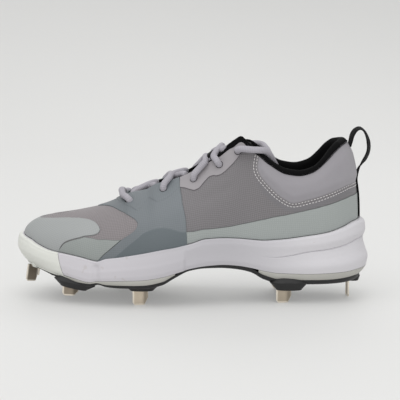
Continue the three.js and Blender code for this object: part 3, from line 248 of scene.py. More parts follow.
def rib_points(station, side):
    """The four control points of the upper's ribs at stations."""
    station, side = folded(station, side)

    def rib(key):
        return follow(RIBS, key, station)

    foot = plan_point(station, side, upper_inset(station), sole_height("lip", station))
    along = rib("topAlong")
    middle = follow(RIDGE, "shift", station_of(along))
    y = middle * BALL_WIDTH + side * rib("out") * BALL_WIDTH
    top = np.stack([along * LENGTH, y, LIP_DATUM + UPPER_RISE * rib("rise")], -1)
    outward = outward_of(station, side)
    height = top[..., 2] - foot[..., 2]
    low = foot + outward * (FLARE * rib("low"))[..., None]
    low[..., 2] += rib("lift") * height
    high = top + outward * (FLARE * rib("high"))[..., None]
    high[..., :2] += rib("reach")[..., None] * (foot - top)[..., :2]
    high[..., 2] -= rib("drop") * height
    return foot, low, high, top


# How far the throat's edge is bent where the tongue ends: place, reach and millimetres
EDGE_UP = (0.638, 0.025, 3.2)
EDGE_DOWN = (0.615, 0.058, 4.8)


def edge_shift(station, side, up):
    """The throat's edge is bent up on the lateral side and down on the medial one."""
    along = along_of(station)
    raised = EDGE_UP[2] * bell(*EDGE_UP[:2], along)
    lowered = EDGE_DOWN[2] * bell(*EDGE_DOWN[:2], along)
    return np.where(np.asarray(side) < 0, raised, -lowered) * smooth(0.75, 1, up)


def face_point(station, side, up):
    """The upper's outer face, up from its foot at 0 to its top edge at 1."""
    a, b, c, d = rib_points(station, side)
    t = np.clip(np.asarray(up, float), 0, 1)[..., None]
    s = 1 - t
    point = a * s**3 + 3 * b * s * s * t + 3 * c * s * t * t + d * t**3
    point[..., 2] += edge_shift(station, side, up)
    return point


def raw_normal(station, side, up):
    along_run = face_point(station + STEP, side, up) - face_point(station - STEP, side, up)
    above, below = np.minimum(up + 0.01, 1), np.maximum(up - 0.01, 0)
    up_run = face_point(station, side, above) - face_point(station, side, below)
    return unit(np.cross(along_run, up_run) * -np.asarray(side, float)[..., None])


def face_normal(station, side, up):
    """The face's outward direction, shared by both sides where they meet in front of the throat."""
    station, up = np.broadcast_arrays(np.asarray(station, float), np.asarray(up, float))
    normal = raw_normal(station, side, up)
    closed = (follow(RIBS, "out", station) < 1e-6) & (up > 0.999)
    return np.where(closed[..., None], unit(normal + raw_normal(station, -side, up)), normal)


def wall_at(along, up):
    return mix(UPPER_WALL, COLLAR_PAD, smooth(0.63, 0.72, along) * smooth(0.35, 0.85, up))


# Borders of the bonded layers on the upper, in shares of the length and of the rib
TOE_LAYER = {
    "along": [0, 0.016, 0.035, 0.06, 0.09, 0.12, 0.128, 0.137, 0.15, 0.166, 0.183, 0.199, 0.22, 0.235,
        0.2405],
    "low": [0, 0, 0, 0, 0, 0, 0.09, 0.155, 0.2, 0.235, 0.265, 0.295, 0.315, 0.345, 0.385],
    "high": [0.55, 0.58, 0.61, 0.64, 0.658, 0.655, 0.652, 0.645, 0.64, 0.63, 0.61, 0.587, 0.53, 0.45,
        0.386],
}
FRONT_RAND = {
    "along": [0.118, 0.13, 0.137, 0.15, 0.166, 0.183, 0.199, 0.218, 0.232, 0.247, 0.264, 0.281, 0.305],
    "low": [0, 0, 0, 0, 0, 0, 0, 0, 0, 0.037, 0.078, 0.125, 0.186],
    "high": [0.002, 0.09, 0.143, 0.19, 0.226, 0.256, 0.284, 0.278, 0.266, 0.25, 0.227, 0.206, 0.188],
}
REAR_RAND = {
    "along": [0.484, 0.52, 0.56, 0.595, 0.63, 0.66, 0.7, 0.74, 0.77, 0.8, 0.83, 0.86, 0.895, 0.93, 0.965,
        0.985, 1],
    "high": [0.139, 0.112, 0.099, 0.104, 0.13, 0.175, 0.266, 0.348, 0.39, 0.419, 0.43, 0.428, 0.403,
        0.37, 0.334, 0.327, 0.326],
}
EYESTAY = {
    "along": [0.466, 0.482, 0.497, 0.51, 0.52, 0.53, 0.538, 0.55, 0.56, 0.57, 0.58, 0.592, 0.606, 0.622,
        0.637, 0.65],
    "low": [0.8, 0.75, 0.69, 0.655, 0.66, 0.7, 0.735, 0.768, 0.76, 0.732, 0.725, 0.735, 0.765, 0.82,
        0.875, 0.92],
}
FILM = {
    "up": [0, 0.035, 0.075, 0.12, 0.187, 0.245, 0.3, 0.36, 0.43, 0.48, 0.54, 0.6, 0.72, 0.86, 0.92, 1],
    "front": [0.2335, 0.2475, 0.264, 0.2805, 0.306, 0.332, 0.3455, 0.3495, 0.342, 0.33, 0.314, 0.3,
        0.278, 0.25, 0.235, 0.212],
    "rear": [0.49, 0.4895, 0.489, 0.488, 0.487, 0.4865, 0.485, 0.4825, 0.4795, 0.477, 0.475, 0.474, 0.47,
        0.4675, 0.467, 0.466],
}
RAND_UNDER = {
    "along": [0.24, 0.2838, 0.3013, 0.3175, 0.3337, 0.3513, 0.3675, 0.385, 0.4, 0.42, 0.4375, 0.4537,
        0.47, 0.488],
    "edge": [-0.2, 0, 0.048, 0.09, 0.133, 0.18, 0.23, 0.247, 0.248, 0.24, 0.22, 0.187, 0.155, 0.137],
}
EYESTAY_UNDER = {
    "along": [0.27, 0.29, 0.3088, 0.3212, 0.3325, 0.3475, 0.355, 0.3688, 0.38, 0.3925, 0.4062, 0.4213,
        0.435, 0.4463, 0.466],
    "edge": [1.2, 0.86, 0.725, 0.675, 0.635, 0.575, 0.595, 0.685, 0.762, 0.69, 0.628, 0.635, 0.672, 0.71,
        0.8],
}
# The seam between the padded collar panel and the quarter, from the top edge to the heel
COLLAR_SEAM = {
    "along": [0.679, 0.677, 0.675, 0.6735, 0.673, 0.675, 0.684, 0.694, 0.704, 0.716, 0.7275, 0.741,
        0.755, 0.767, 0.781, 0.797, 0.814, 0.84, 0.871, 0.9, 0.929, 0.956, 0.978, 1],
    "up": [1, 0.96, 0.91, 0.863, 0.815, 0.775, 0.73, 0.708, 0.685, 0.652, 0.618, 0.587, 0.555, 0.524,
        0.515, 0.525, 0.541, 0.545, 0.535, 0.512, 0.482, 0.453, 0.436, 0.428],
}
EYELETS = table("along up", [[0.323, 0.79], [0.422, 0.83], [0.506, 0.845], [0.577, 0.868], [0.628, 0.9]])
# Soft troughs in the quarter: from, to, half width and depth in millimetres
CREASES = table("along0 up0 along1 up1 wide deep", [
    [0.5, 0.56, 0.54, 0.47, 5, 0.5], [0.54, 0.47, 0.6, 0.52, 5, 0.55], [0.6, 0.52, 0.63, 0.62, 5, 0.3],
    [0.555, 0.66, 0.6, 0.6, 4, -0.35],
])


# Meshes from grids of points, in millimetres from the toe
SHIFT = np.array([-151.6205, 1.7943, 0.0])  # from the toe to the frame's origin


def in_frame(points):
    return (np.asarray(points, float) + SHIFT) / 1000


def lengths(points, axis):
    """The way along a grid's rows or columns, from its start."""
    step = np.linalg.norm(np.diff(points, axis=axis), axis=-1)
    way = np.cumsum(step, axis=axis)
    first = np.zeros_like(np.take(way, [0], axis=axis))
    return np.concatenate([first, way], axis=axis)


def grid(points, wrap=False, material=0, **values):
    return {"points": np.asarray(points, float), "wrap": wrap, "material": material, "values": values}


def mesh_object(name, grids, materials, nodes, sharp=None, merge=True):
    """One object from grids of points, with each grid's values as attributes of its points."""
    corners, faces, kinds = [], [], []
    keys = sorted({key for g in grids for key in g["values"]})
    values = {key: [] for key in keys}
    start = 0
    for g in grids:
        rows, columns = g["points"].shape[:2]
        index = np.arange(rows * columns).reshape(rows, columns) + start
        if g["wrap"]:
            index = np.concatenate([index, index[:, :1]], axis=1)
        around = [index[:-1, :-1], index[:-1, 1:], index[1:, 1:], index[1:, :-1]]
        quads = np.stack(around, -1).reshape(-1, 4)
        corners.append(g["points"].reshape(-1, 3))
        faces.append(quads)
        kinds.append(np.full(len(quads), g["material"]))
        for key in keys:
            value = g["values"].get(key, 0.0)
            values[key].append(np.broadcast_to(np.asarray(value, float), (rows, columns)).reshape(-1))
        start += rows * columns
    mesh = bpy.data.meshes.new(name)
    mesh.from_pydata(in_frame(np.concatenate(corners)).tolist(), [], np.concatenate(faces).tolist())
    mesh.polygons.foreach_set("material_index", np.concatenate(kinds).astype(np.int32))
    for key in keys:
        layer = mesh.attributes.new(key, "FLOAT", "POINT")
        layer.data.foreach_set("value", np.concatenate(values[key]).astype(np.float32))
    for each in materials:
        mesh.materials.append(each)
    if merge:
        work = bmesh.new()
        work.from_mesh(mesh)
        bmesh.ops.remove_doubles(work, verts=work.verts, dist=3e-6)
        bmesh.ops.dissolve_degenerate(work, edges=work.edges, dist=1e-7)
        bmesh.ops.recalc_face_normals(work, faces=work.faces)
        work.to_mesh(mesh)
        work.free()
    mesh.shade_smooth()
    if sharp:
        mesh.set_sharp_from_angle(angle=math.radians(sharp))
    obj = bpy.data.objects.new(name, mesh)
    bpy.context.scene.collection.objects.link(obj)
    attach(obj, "root")
    if nodes:
        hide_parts(*nodes)
    return obj


# Materials
def tone(red, green, blue):
    """A colour given in 0 to 255 as the shader's own values."""
    share = np.array([red, green, blue]) / 255
    linear = np.where(share <= 0.04045, share / 12.92, ((share + 0.055) / 1.055) ** 2.4)
    return (*linear.tolist(), 1.0)


def times(color, share):
    """A colour made darker or lighter."""
    return (*[min(1, c * share) for c in color[:3]], 1.0)


class Shader:
    """A material's nodes, made by short calls."""

    def __init__(self, name, roughness, **settings):
        self.material = bpy.data.materials.new(name)
        self.material.use_nodes = True
        self.tree = self.material.node_tree
        self.bsdf = self.tree.nodes["Principled BSDF"]
        self.bsdf.inputs["Roughness"].default_value = roughness
        for key, value in settings.items():
            self.bsdf.inputs[key.replace("_", " ")].default_value = value
        self.normal = None

    def node(self, kind, inputs=None, **settings):
        made = self.tree.nodes.new(kind)
        for key, value in settings.items():
            setattr(made, key, value)
        for key, value in (inputs or {}).items():
            self.put(made.inputs[key], value)
        return made

    def put(self, socket, value):
        if isinstance(value, bpy.types.NodeSocket):
            self.tree.links.new(value, socket)
        else:
            socket.default_value = value

    def math(self, operation, a, b=0.0, c=0.0):
        return self.node("ShaderNodeMath", {0: a, 1: b, 2: c}, operation=operation).outputs[0]

    def value(self, name):
        return self.node("ShaderNodeAttribute", attribute_name=name).outputs["Fac"]

    def step(self, value, low, high):
        sockets = {0: value, 1: low, 2: high}
        return self.node("ShaderNodeMapRange", sockets, interpolation_type="SMOOTHSTEP").outputs[0]

    def blend(self, share, a, b, mode="MIX"):
        made = self.node("ShaderNodeMix", data_type="RGBA", blend_type=mode)
        self.put(made.inputs[0], share)
        self.put(made.inputs[6], a)
        self.put(made.inputs[7], b)
        return made.outputs[2]

    def noise(self, scale, detail=2.0):
        where = self.node("ShaderNodeTexCoord").outputs["Object"]
        sockets = {"Vector": where, "Scale": scale, "Detail": detail}
        return self.node("ShaderNodeTexNoise", sockets).outputs["Fac"]

    def wave(self, value, period, phase=0.0):
        return self.math("SINE", self.math("MULTIPLY_ADD", value, 2 * math.pi / period, phase))

    def weave(self, pitch, slant=0.0):
        """Threads over and under each other, from 0 to 1."""
        u, v = self.value("u"), self.value("v")
        across = self.math("MULTIPLY_ADD", v, slant, u)
        upward = self.math("MULTIPLY_ADD", u, -slant, v)
        product = self.math("MULTIPLY", self.wave(across, pitch), self.wave(upward, pitch))
        return self.math("MULTIPLY_ADD", product, 0.5, 0.5)

    def bump(self, height, distance, strength=1.0):
        sockets = {"Height": height, "Strength": strength, "Distance": distance / 1000}
        made = self.node("ShaderNodeBump", sockets)
        if self.normal:
            self.put(made.inputs["Normal"], self.normal)
        self.normal = made.outputs[0]
        self.put(self.bsdf.inputs["Normal"], self.normal)

    def color(self, value):
        self.put(self.bsdf.inputs["Base Color"], value)

    def mottled(self, color, scale, amount):
        """A colour that varies a little from place to place."""
        return self.blend(self.noise(scale), times(color, 1 - amount), times(color, 1 + amount))

    def grain(self, scale, detail, depth, strength=0.5):
        self.bump(self.noise(scale, detail), depth, strength)


CREAM = tone(216, 217, 211)
# the cream plastic greyed by painted shade, for the rims that face down
RIM_SHADE_GREY = tone(181, 180, 174)
REAR_LIGHT = (1.18, 1.18, 1.19, 1.0)  # how much lighter the skins are towards the heel


def mesh_fabric():
    """The upper's woven mesh: brown-grey in front, grey behind, smooth and padded at the collar."""
    shader = Shader("upper_mesh", 0.78, Sheen_Weight=0.15, Sheen_Roughness=0.5)
    collar = shader.step(shader.value("collar"), 1.2, 3.6)
    front = shader.step(shader.value("s"), 0.38, 0.4)
    strip = shader.step(shader.value("strip"), -0.5, 1.5)
    threads = shader.weave(3.0, 0.8)
    quarter = shader.blend(threads, tone(108, 105, 107), tone(131, 128, 130))
    window = shader.blend(threads, tone(120, 114, 116), tone(146, 140, 141))
    base = shader.blend(front, window, quarter)
    base = shader.blend(strip, base, tone(118, 116, 119))
    cover = shader.mottled(tone(151, 148, 153), 60, 0.03)
    shader.color(shader.blend(collar, base, cover))
    fine = shader.math("MULTIPLY", threads, shader.math("SUBTRACT", 1.0, collar))
    shader.bump(fine, 0.25, 0.7)
    shader.grain(900, 2, 0.08)
    return shader.material


def lining():
    shader = Shader("black_lining", 0.95, Specular_IOR_Level=0.15)
    shader.color(shader.mottled(tone(8, 8, 9), 80, 0.15))
    shader.grain(1400, 3, 0.15, 0.6)
    return shader.material


def film_skin(name, color, cut, under=None, dotted=0.0):
    """A thin fused skin, with painted shade along its cut edge, where its step casts a thin shadow, and the
    weave under it showing through a little.
    """
    shader = Shader(name, 0.5, Coat_Weight=0.04, Coat_Roughness=0.4)
    threads = shader.weave(3.0, 0.8)
    base = shader.blend(threads, times(color, 0.84), color)
    if dotted:
        dots = shader.math("GREATER_THAN", shader.weave(1.7, 0.0), 0.86)
        base = shader.blend(shader.math("MULTIPLY", dots, dotted), base, tone(120, 128, 122))
    if under:
        base = shader.blend(shader.value("under"), base, under)
    base = shader.blend(shader.step(shader.value("s"), 0.1, 0.75), base, REAR_LIGHT, "MULTIPLY")
    # painted shade: the skin is darker along its cut edge, in the cut colour
    edge = shader.step(shader.value("edge"), 0.75, 0.25)
    shader.color(shader.blend(edge, base, cut))
    shader.bump(threads, 0.1, 0.5)
    shader.grain(500, 3, 0.08)
    return shader.material


def eyestay_skin():
    shader = Shader("grey_skin", 0.55, Coat_Weight=0.04)
    # painted shade: darker along the cut edge, where the skin's step casts a thin shadow
    edge = shader.step(shader.value("edge"), 0.7, 0.25)
    shader.color(shader.blend(edge, shader.mottled(tone(151, 147, 150), 50, 0.03), tone(110, 106, 110)))
    shader.grain(700, 4, 0.1, 0.6)
    return shader.material


def plate_plastic():
    shader = Shader("black_plastic", 0.5)
    shader.color(shader.mottled(tone(22, 22, 23), 35, 0.1))
    shader.grain(420, 3, 0.05)
    return shader.material


def foam():
    """The midsole's foam, lighter at the heel, and greyer in the arch with painted shade, where its side
    faces down.
    """
    shader = Shader("foam", 0.62)
    front = shader.step(shader.value("s"), 0.2, 0.6)
    heel = shader.step(shader.value("s"), 0.6, 0.85)
    # the arch's darker tone is painted shade
    base = shader.blend(front, tone(198, 195, 200), tone(184, 182, 187))
    base = shader.blend(heel, base, tone(206, 204, 208))
    spots = shader.math("GREATER_THAN", shader.noise(130, 4), 0.7)
    shader.color(shader.blend(shader.math("MULTIPLY", spots, 0.25), base, tone(170, 162, 152)))
    shader.grain(420, 3, 0.04)
    return shader.material


def rim_plastic():
    """The chassis: cream at the toe bumper, and greyer along the rims with painted shade, as they face
    down.
    """
    shader = Shader("cream_plastic", 0.5)
    # rear marks the rims, where painted shade greys the cream plastic
    rear = shader.value("rear")
    shader.color(shader.blend(rear, shader.mottled(CREAM, 35, 0.02), shader.mottled(RIM_SHADE_GREY, 90, 0.05)))
    shader.grain(420, 3, 0.04)
    return shader.material


def steel():
    """Steel with a painted highlight along the blades' edges and painted shade darkening their faces."""
    shader = Shader("spike_steel", 0.36, Metallic=1.0)
    # face is 0 at the blades' edges, where the light tone is a painted highlight
    face = shader.step(shader.value("edge"), 0.7, 1.8)
    shaded_face = shader.mottled(tone(212, 199, 180), 220, 0.1)
    # painted shade darkens the blades' faces, by kind
    shaded_face = shader.blend(shader.value("hollow"), shaded_face, shader.mottled(tone(62, 50, 40), 220, 0.3))
    shader.color(shader.blend(face, shader.mottled(tone(236, 228, 214), 160, 0.06), shaded_face))
    shader.grain(700, 3, 0.03, 0.4)
    return shader.material


def braid(name, color, strands, pitch, deep):
    """A round or flat braid: u runs round it or across it, from 0 to 1, and v along it in millimetres."""
    shader = Shader(name, 0.85, Sheen_Weight=0.03, Specular_IOR_Level=0.15)
    u, v = shader.value("u"), shader.value("v")
    turn = shader.math("MULTIPLY", u, 2 * math.pi * strands)
    climb = shader.math("MULTIPLY", v, 2 * math.pi / pitch)
    left = shader.math("SINE", shader.math("ADD", climb, turn))
    right = shader.math("SINE", shader.math("SUBTRACT", climb, turn))
    rope = shader.math("MULTIPLY_ADD", shader.math("MULTIPLY", left, right), 0.5, 0.5)
    shader.color(shader.blend(rope, times(color, 0.8), color))
    shader.bump(rope, deep, 0.7)
    return shader.material


def thread():
    shader = Shader("stitch_thread", 0.7, Sheen_Weight=0.2)
    shader.color(shader.mottled(tone(230, 226, 226), 300, 0.05))
    return shader.material


LACE_GREY = tone(180, 177, 184)
FABRIC = mesh_fabric()
LINING = lining()
BRAID = braid("lace_braid", LACE_GREY, 7, 2.6, 0.3)
WEBBING = braid("black_webbing", tone(12, 12, 13), 9, 1.6, 0.3)
FOAM = foam()
RIM_PLASTIC = rim_plastic()
BLACK_PLASTIC = plate_plastic()
STEEL = steel()
THREAD = thread()
# Each skin's second colour is painted shade for its cut edge.
TOE_SKIN = film_skin("toe_skin", tone(160, 163, 163), tone(128, 131, 131))
FRONT_RAND_SKIN = film_skin("front_rand_skin", tone(147, 152, 150), tone(106, 111, 110), dotted=0.5)
REAR_RAND_SKIN = film_skin("rear_rand_skin", tone(151, 156, 154), tone(84, 87, 87), dotted=0.5)
FILM_SKIN = film_skin("teal_film", tone(110, 116, 120), tone(103, 110, 113), under=tone(90, 98, 102))
STAY_SKIN = eyestay_skin()


# Camera, floor and light, in metres
CAMERA_TILT = math.radians(8.0)
CAMERA_AWAY = 1.1
TARGET = Vector((0.00658, 0.0017943, 0.0835))
LENS = 115.0
FLOOR_SIDE, FLOOR_FRONT, FLOOR_BACK, FLOOR_BEND, FLOOR_TOP = 6.0, -3.0, 1.0, 1.6, 4.0
# Each light's place, aim, size and power in watts
LIGHTS = {
    "key": ((-0.3, -0.5, 1.6), (0, 0, 0.05), (1.6, 1.6), 10),
    "front": ((0.2, -1.9, 0.75), (0, 0, 0.06), (1.8, 1.0), 6.5),
    "back": ((0.2, 1.3, 1.1), (0, 0, 0.1), (1.6, 0.8), 5),
}
SKY_COLOR, SKY_STRENGTH = (1, 1, 0.995, 1), 0.74
FLOOR_GLOW, FLOOR_GLOW_STRENGTH = (1.0, 1.0, 0.985, 1.0), 0.24


def linked(name, data):
    obj = bpy.data.objects.new(name, data)
    bpy.context.scene.collection.objects.link(obj)
    return obj


def set_camera():
    camera = linked("camera", bpy.data.cameras.new("camera"))
    back = Vector((0, -CAMERA_AWAY * math.cos(CAMERA_TILT), CAMERA_AWAY * math.sin(CAMERA_TILT)))
    camera.location = TARGET + back
    camera.rotation_euler = (math.pi / 2 - CAMERA_TILT, 0, 0)
    camera.data.lens = LENS
    camera.data.sensor_width = 36
    camera.data.clip_end = 20
    bpy.context.scene.camera = camera


def set_floor():
    """A sweep: flat under the shoe, bent up behind it."""
    profile = [(FLOOR_FRONT, 0.0), (FLOOR_BACK, 0.0)]
    for turn in np.linspace(0, math.pi / 2, 17)[1:]:
        bent = (FLOOR_BACK + FLOOR_BEND * math.sin(turn), FLOOR_BEND * (1 - math.cos(turn)))
        profile.append(bent)
    profile.append((FLOOR_BACK + FLOOR_BEND, FLOOR_TOP))
    corners = [(side * FLOOR_SIDE, y, z) for y, z in profile for side in (-1, 1)]
    faces = [(2 * i, 2 * i + 1, 2 * i + 3, 2 * i + 2) for i in range(len(profile) - 1)]
    mesh = bpy.data.meshes.new("floor")
    mesh.from_pydata(corners, [], faces)
    mesh.shade_smooth()
    shader = Shader("floor", 0.6, Emission_Color=FLOOR_GLOW, Emission_Strength=FLOOR_GLOW_STRENGTH)
    shader.color(shader.mottled(tone(184, 184, 183), 3, 0.005))
    mesh.materials.append(shader.material)
    floor = linked("floor", mesh)


def set_light():
    world = bpy.data.worlds.new("studio")
    world.use_nodes = True
    sky = world.node_tree.nodes["Background"]
    sky.inputs["Color"].default_value = SKY_COLOR
    sky.inputs["Strength"].default_value = SKY_STRENGTH
    bpy.context.scene.world = world
    bpy.context.scene.view_settings.view_transform = "Standard"
    for name, (place, aim, size, power) in LIGHTS.items():
        light = bpy.data.lights.new(name, "AREA")
        light.shape = "RECTANGLE"
        light.size, light.size_y = size
        light.energy = power
        obj = linked(name, light)
        obj.location = place
        obj.rotation_euler = (Vector(aim) - Vector(place)).to_track_quat("-Z", "Y").to_euler()


set_camera()
set_floor()
set_light()


# Tubes and tapes along a path
CORD_SIDES = 14
TAPE_SIDES = 20


def smooth_path(points, step):
    """A Catmull-Rom line through the points, in even steps."""
    p = np.asarray(points, float)
    p = np.concatenate([[2 * p[0] - p[1]], p, [2 * p[-1] - p[-2]]])
    fine = []
    for i in range(1, len(p) - 2):
        knots = np.cumsum([0, *np.sqrt(np.linalg.norm(np.diff(p[i - 1 : i + 3], axis=0), axis=1))])
        t = np.linspace(knots[1], knots[2], 16, endpoint=False)[:, None]
        k0, k1, k2, k3 = knots
        a1 = (k1 - t) / (k1 - k0) * p[i - 1] + (t - k0) / (k1 - k0) * p[i]
        a2 = (k2 - t) / (k2 - k1) * p[i] + (t - k1) / (k2 - k1) * p[i + 1]
        a3 = (k3 - t) / (k3 - k2) * p[i + 1] + (t - k2) / (k3 - k2) * p[i + 2]
        b1 = (k2 - t) / (k2 - k0) * a1 + (t - k0) / (k2 - k0) * a2
        b2 = (k3 - t) / (k3 - k1) * a2 + (t - k1) / (k3 - k1) * a3
        fine.append((k2 - t) / (k2 - k1) * b1 + (t - k1) / (k2 - k1) * b2)
    fine = np.concatenate([*fine, [p[-2]]])
    way = np.concatenate([[0], np.cumsum(np.linalg.norm(np.diff(fine, axis=0), axis=1))])
    count = max(2, int(round(way[-1] / step)) + 1)
    even = np.linspace(0, way[-1], count)
    return np.stack([np.interp(even, way, fine[:, i]) for i in range(3)], -1)


def frames(path, start):
    """Directions across a path that turn with it: run, side and up."""
    run = unit(np.gradient(path, axis=0))
    side = np.zeros_like(run)
    now = np.asarray(start, float)
    for i, along in enumerate(run):
        now = now - along * np.dot(now, along)
        now = now / np.linalg.norm(now)
        side[i] = now
    return run, side, np.cross(run, side)


def rounded(value, power):
    return np.sign(value) * np.abs(value) ** power


def tube_grids(path, radius, start=(0, 0, 1), ends=True):
    """A round cord along an even path: u once round it, v along it."""
    run, side, up = frames(path, start)
    turn = 2 * np.pi * np.arange(CORD_SIDES) / CORD_SIDES
    ringed = np.cos(turn)[None, :, None] * side[:, None] + np.sin(turn)[None, :, None] * up[:, None]
    points = path[:, None] + ringed * radius
    way = lengths(path, 0)[:, None]
    u = np.abs(turn / np.pi - 1)[None, :]
    grids = [grid(points, wrap=True, u=u, v=way)]
    for i, sign in ((0, -1), (-1, 1)) if ends else ():
        out = sign * run[i] * radius * 0.35
        cap = [mix(points[i], path[i], k) + out * math.sqrt(k) for k in (0, 0.4, 0.8, 1)]
        grids.append(grid(np.stack(cap), wrap=True, u=u, v=way[i]))
    return grids


def tape_grids(path, across, thick, twist=np.zeros(1)):
    """A flat tape with rounded edges along a path, turned about it by twist: u across it, v along it."""
    across = np.asarray(across, float)
    run = unit(np.gradient(path, axis=0))
    side = unit(across - run * (run @ across)[:, None])
    out = np.cross(run, side)
    c, s = np.cos(twist)[..., None], np.sin(twist)[..., None]
    side, out = side * c + out * s, out * c - side * s
    turn = 2 * np.pi * np.arange(TAPE_SIDES) / TAPE_SIDES
    x, y = rounded(np.cos(turn), 0.35), rounded(np.sin(turn), 0.7)
    wide = x[None, :, None] * side[:, None] * np.linalg.norm(across)
    points = path[:, None] + wide + y[None, :, None] * out[:, None] * thick / 2
    way = lengths(path, 0)[:, None]
    u = 0.5 + x[None] / 2
    grids = [grid(points, wrap=True, u=u, v=way)]
    for i in (0, -1):
        cap = np.stack([points[i], path[[i]].repeat(TAPE_SIDES, 0)])
        grids.append(grid(cap, wrap=True, u=u, v=way[i]))
    return grids


# The free lace ends come first: from the top eyelets over the collar into the shoe
LACE = 5.6
LATERAL_END = [
    (189.6, -29.4, 130), (192.4, -31.2, 130.8), (197, -32.6, 130.6), (202.1, -33.1, 130.2),
    (207.6, -32.1, 129.9), (212.5, -28.7, 128.7), (216.3, -24.6, 125.1), (219.2, -20.5, 120.2),
    (222, -16, 115), (224.4, -12.5, 108.5), (226.5, -9.5, 101), (228.5, -7, 93),
]
MEDIAL_END = [
    (189.6, 27.6, 129.6), (192.4, 30.2, 130.4), (196.6, 32.4, 130.2), (202, 33.1, 129),
    (207.6, 32.3, 129.4), (212.4, 28, 128.9), (216, 21.3, 126), (218.4, 14, 121.8), (220.8, 6.5, 117.5),
    (221.8, 1, 111.5), (221, -2, 103.5), (219.6, -3.6, 94),
]


def lace_end(name, node, points):
    path = smooth_path(points, 1.2)
    piece = mesh_object(name, tube_grids(path, LACE / 2, ends=False), [BRAID], [node])


lace_end("free_lace_lateral", "lace_end_lateral", LATERAL_END)
lace_end("free_lace_medial", "lace_end_medial", MEDIAL_END)


# The upper
def ring(alongs):
    """Stations and sides once round the shoe: back on the lateral side, forward on the medial one."""
    stations = station_of(np.asarray(alongs, float))
    back = stations[::-1]
    keep = (back > 1e-9) & (back < 1 - 1e-9)
    side = np.concatenate([np.full(len(stations), -1.0), np.full(keep.sum(), 1.0)])
    return np.concatenate([stations, back[keep]]), side


RIB_SPAN = 62.0


def crease(along, up):
    """How far soft troughs push the face in or out, in millimetres."""
    place = np.stack(np.broadcast_arrays(np.asarray(along) * LENGTH, np.asarray(up) * RIB_SPAN), -1)
    total = 0.0
    for a0, u0, a1, u1, wide, deep in zip(*CREASES.values()):
        start = np.array([a0 * LENGTH, u0 * RIB_SPAN])
        line = np.array([a1 * LENGTH, u1 * RIB_SPAN]) - start
        t = np.clip((place - start) @ line / (line @ line), 0, 1)[..., None]
        away = np.linalg.norm(place - start - t * line, axis=-1)
        total = total - deep * np.exp(-((away / wide) ** 2))
    return total


def plain_point(station, side, up, depth):
    station, side, up, depth = np.broadcast_arrays(station, side, up, depth)
    return face_point(station, side, up) + face_normal(station, side, up) * depth[..., None]


FRONT_ROWS = 4  # the seam's rows that run down from the top edge


def collar_distance(station, side, up):
    """Millimetres from the collar panel's seam, positive on the panel."""
    along = along_of(station)
    points = face_point(station, side, up)
    seam_along, seam_up = (np.array(column) for column in COLLAR_SEAM.values())
    best = np.full(points.shape[:-1], 1e9)
    for s in (-1, 1):
        line = face_point(station_of(seam_along), s, seam_up)
        for a, b in zip(line[:-1], line[1:]):
            t = np.clip(((points - a) @ (b - a)) / ((b - a) @ (b - a)), 0, 1)[..., None]
            best = np.minimum(best, np.linalg.norm(points - a - t * (b - a), axis=-1))
    low = hermite(seam_along[FRONT_ROWS:], seam_up[FRONT_ROWS:], np.clip(along, seam_along[FRONT_ROWS], 1))
    low = np.where(along < seam_along[FRONT_ROWS], 9, low)
    front = np.interp(up, seam_up[FRONT_ROWS::-1], seam_along[FRONT_ROWS::-1])
    return np.where((up > low) & (along > front), best, -best)


PUFF = 2.2
GROOVE, GROOVE_REACH = 0.55, 1.1


def relief(station, side, up):
    """The face's dents, the puff of the collar panel and its seam's groove."""
    seam = collar_distance(station, side, up)
    puff = PUFF * smooth(1.2, 9, seam) * (1 - 0.7 * smooth(0.8, 1, up))
    groove = GROOVE * np.exp(-((seam / GROOVE_REACH) ** 2))
    return crease(along_of(station), up) + puff - groove, seam


def skin_values(station, up):
    """The place on the face in millimetres, for the weave."""
    fine = np.linspace(0, 1, 400)
    u = np.interp(station, fine, lengths(outline_point(fine, -1), 0))
    ribs = face_point(fine[None], -1.0, np.linspace(0, 1, 24)[:, None])
    v = up * np.interp(station, fine, lengths(ribs, 0)[-1])
    return {"u": u + 0 * up, "v": v, "s": along_of(station) + 0 * up}


def edge_roll(alongs, side):
    """The lining rolled over the top edge, a little taller where the tongue ends."""
    line = station_of(alongs[alongs >= THROAT - 1e-9])[None]
    along = along_of(line)
    grown, _ = relief(line, side, np.array([[1.0]]))
    edge = face_point(line, side, 1.0)
    out = face_normal(line, side, 1.0)
    rise = unit(edge - face_point(line, side, 0.97))
    turn = np.linspace(0, np.pi, 13)[:, None]
    wall = wall_at(along, 1.0)
    radius = ((wall + grown) / 2)[..., None]
    across = out * radius * np.cos(turn)[..., None] * smooth(0, 0.012, along - THROAT)[..., None]
    tall = wall * 0.45 * smooth(0, 0.012, along - THROAT)
    tall = tall + 1.1 * smooth(0.54, 0.58, along) + 2.6 * bell(0.615, 0.035, along)
    return edge + out * (grown[..., None] - radius) + across + rise * (tall * np.sin(turn))[..., None]


